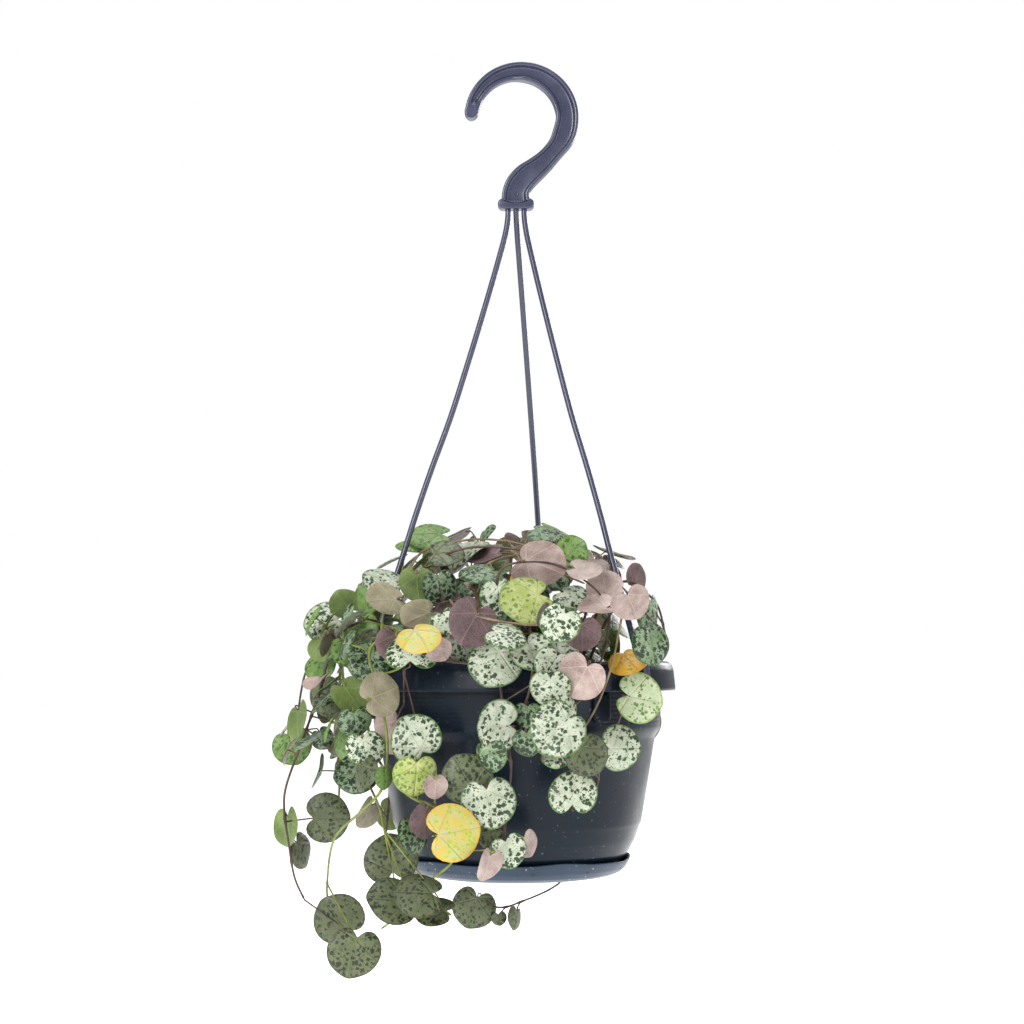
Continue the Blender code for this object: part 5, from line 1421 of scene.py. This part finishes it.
def stemShell(vine):
    # the stem thins towards its tip and swells at each knot where a stalk leaves
    path = spline(vine["path"], 1.2)
    along = np.linspace(0, 1, len(path))
    radii = stemShape["base"] + (stemShape["tip"] - stemShape["base"]) * along
    knots = np.array([leaf["stalk"][0] for leaf in vine["leaves"]])
    near = np.linalg.norm(path[:, None] - knots[None], axis=2).min(1)
    radii = radii + stemShape["knot"] * np.exp(-((near / 1.1) ** 2))
    radii[-1] *= 0.3
    return withAttributes(tube(path, radii, stemShape["sides"]))


def stalkShell(leaf):
    # a bowed stalk that ends inside the blade, just past its notch
    line = leaf["stalk"]
    end = leaf["root"] + leaf["ahead"] * 1.2 - leaf["normal"] * 0.1
    middle = (line[-2] + line[-1]) / 2 + leaf["normal"] * -0.5
    path = spline(np.vstack([line[:-1], middle, line[-1:], end]), 1.0)
    radii = np.linspace(1.0, 0.8, len(path)) * stemShape["stalk"]
    radii[-1] *= 0.4
    return withAttributes(tube(path, radii, stemShape["stalkSides"]))


# which faces are drawn where the photograph doesn't tell; the second of a pair is for x up to leftFrom
drawnFaces = {
    "leftFrom": -30,
    "undersides": (("lilac", "lilac", "beige", "plum"), ("olive", "olive", "beige", "lilac")),
    "uppers": (("silver", "silver", "grey", "green"), ("green", "fresh", "silver", "grey")),
    "hidden": ("silver", "silver", "silver", "grey", "green", "fresh"),
}


def faceKinds(leaf, draw):
    # the listed kind names the face that the photograph shows; the other face, and hidden leaves, are drawn
    kind = leaf.get("kind")
    left = int(leaf["centre"][0] <= drawnFaces["leftFrom"])
    other = draw.choice(drawnFaces["undersides"][left])
    upper = draw.choice(drawnFaces["uppers"][left])
    if kind in topLooks:
        return kind, other
    if kind in backLooks:
        return upper, kind
    return draw.choice(drawnFaces["hidden"]), other


# where more leaves go: x, y and z ranges in millimetres, how many, their widths, kinds and rise from the stem
innerGrowth = {
    "crown": {
        "box": ((-62, 62), (-62, 62), (-249, -199)), "seed": 3, "tries": 1700, "wanted": 150,
        "sizes": (10.0, 16.0), "rise": (-3, 8), "kinds": ("green", "grey", "plum", "green", "olive"),
    },
    "left": {
        "box": ((-90, -50), (-48, 12), (-300, -222)), "seed": 4, "tries": 700, "wanted": 34,
        "sizes": (11.0, 17.0), "rise": (-8, 4),
        "kinds": ("fresh", "olive", "green", "fresh", "beige", "grey"),
    },
}


def fillInside(vines, crowd, zone):
    # more leaves deep in the foliage, on the same stems and clear of the rest, which close it to the eye
    draw = random.Random(zone["seed"])
    low, high = np.array(zone["box"]).T
    nodes = []
    for vine in vines:
        inside = ((vine["path"] > low) & (vine["path"] < high)).all(1)
        nodes += [(vine, at) for at in np.flatnonzero(inside) if at > 6]
    made = 0
    for attempt in range(zone["tries"]):
        vine, at = draw.choice(nodes)
        node = vine["path"][at]
        angle = math.atan2(node[1], node[0])
        away = np.array([math.cos(angle), math.sin(angle), 0.0])
        across = np.array([-away[1], away[0], 0.0])
        side = draw.choice((-1, 1))
        centre = node + across * side * draw.uniform(5, 13) + away * draw.uniform(-6, 7)
        centre[2] += draw.uniform(*zone["rise"])
        out = math.hypot(centre[0], centre[1])
        if centre[2] > potSizes["rimZ"] and out > envelope(centre[2]) - 8 and centre[0] > -50:
            continue
        leaf = makeLeaf(
            centre, draw.uniform(*zone["sizes"]), -90 + side * draw.uniform(15, 95),
            side * draw.uniform(-20, 40), draw.uniform(10, 60), draw.random() < 0.3, angle + math.pi / 2,
        )
        leaf["kind"] = draw.choice(zone["kinds"])
        made += tryLeaf(crowd, vine, leaf, vine["path"][6:])
        if made == zone["wanted"]:
            break
    print("inner leaves", made)


# bare runners over the crown: their skin, and where they run in the photograph and how far out they lie
runnerRadii = (0.5, 0.4)
runners = (
    ("tanStem", (
        (450, 600, 2), (458, 610, 8), (475, 616, 11), (505, 622, 12), (535, 625, 12), (563, 622, 9),
        (582, 612, 3),
    )),
    ("tanStem", (
        (619, 588, 1), (623, 606, 8), (618, 636, 9), (612, 664, 9), (602, 694, 6), (588, 722, 5),
        (574, 738, 3),
    )),
    ("purpleStem", (
        (498, 604, 2), (496, 584, 6), (503, 568, 7), (522, 562, 7), (548, 563, 7), (572, 572, 7),
        (594, 588, 5),
        (604, 600, 1),
    )),
    ("oliveStem", (
        (332, 636, 0), (338, 656, 8), (352, 670, 12), (372, 674, 13), (390, 672, 12), (404, 665, 10),
        (412, 652, 4),
    )),
    ("purpleStem", (
        (436, 560, 0), (452, 552, 4), (476, 547, 5), (505, 548, 5), (536, 552, 5), (566, 560, 4),
        (590, 574, 2),
    )),
)


def buildRunners(stems):
    # one thin tube for each runner; its faces take the slot of its own skin
    kinds, shells = list(stems), []
    for kind, places in runners:
        path = spline([spot(*place) for place in places], 1.2)
        made = withAttributes(tube(path, np.linspace(*runnerRadii, len(path)), stemShape["sides"]))
        made["slots"] = tuple(np.full(len(part), kinds.index(kind)) for part in (made["quads"], made["tris"]))
        shells.append(made)
    makePiece("crownRunners", shells, list(stems.values()), (), 50)


def stemKindOf(vine, draw):
    # olive for most stems that end at the left, tan for those that rise high, and purple brown for the rest
    if vine["path"][-1][0] < stemShape["oliveAcross"] and draw.random() < stemShape["oliveShare"]:
        return "oliveStem"
    high = vine["path"][:, 2].max() > potSizes["rimZ"] + stemShape["tanAbove"]
    return "tanStem" if high else "purpleStem"


def buildVines():
    # one piece for each vine: its stem, and a stalk and a blade for each of its leaves
    tops = {kind: leafTopMaterial(kind) for kind in topLooks}
    backs = {kind: leafBackMaterial(kind) for kind in backLooks}
    stems = {kind: stemMaterial(kind) for kind in stemLooks}
    form = bladeTemplate()
    draw = random.Random(7)
    vines, crowd = layOutVines()
    for zone in innerGrowth.values():
        fillInside(vines, crowd, zone)
    buildRunners(stems)
    for number, vine in enumerate(vines, 1):
        materials, slotsOf = [stems[stemKindOf(vine, draw)]], {}
        shells = [stemShell(vine)]
        for leaf in vine["leaves"]:
            upper, under = faceKinds(leaf, draw)
            for key, made in ((upper, tops.get(upper)), (under, backs.get(under))):
                if key not in slotsOf:
                    slotsOf[key] = len(materials)
                    materials.append(made)
            shells.append(stalkShell(leaf))
            shells.append(bladeShell(leaf, form, draw, slotsOf[upper], slotsOf[under]))
        makePiece(f"heartVine{number:02d}", shells, materials, [f"vine_{number:02d}"], 50)
    print("vines made")


buildPot()
buildTray()
print("pot and tray made")
buildHanger()
print("hanger made")
buildSoil()
print("soil made")
buildVines()
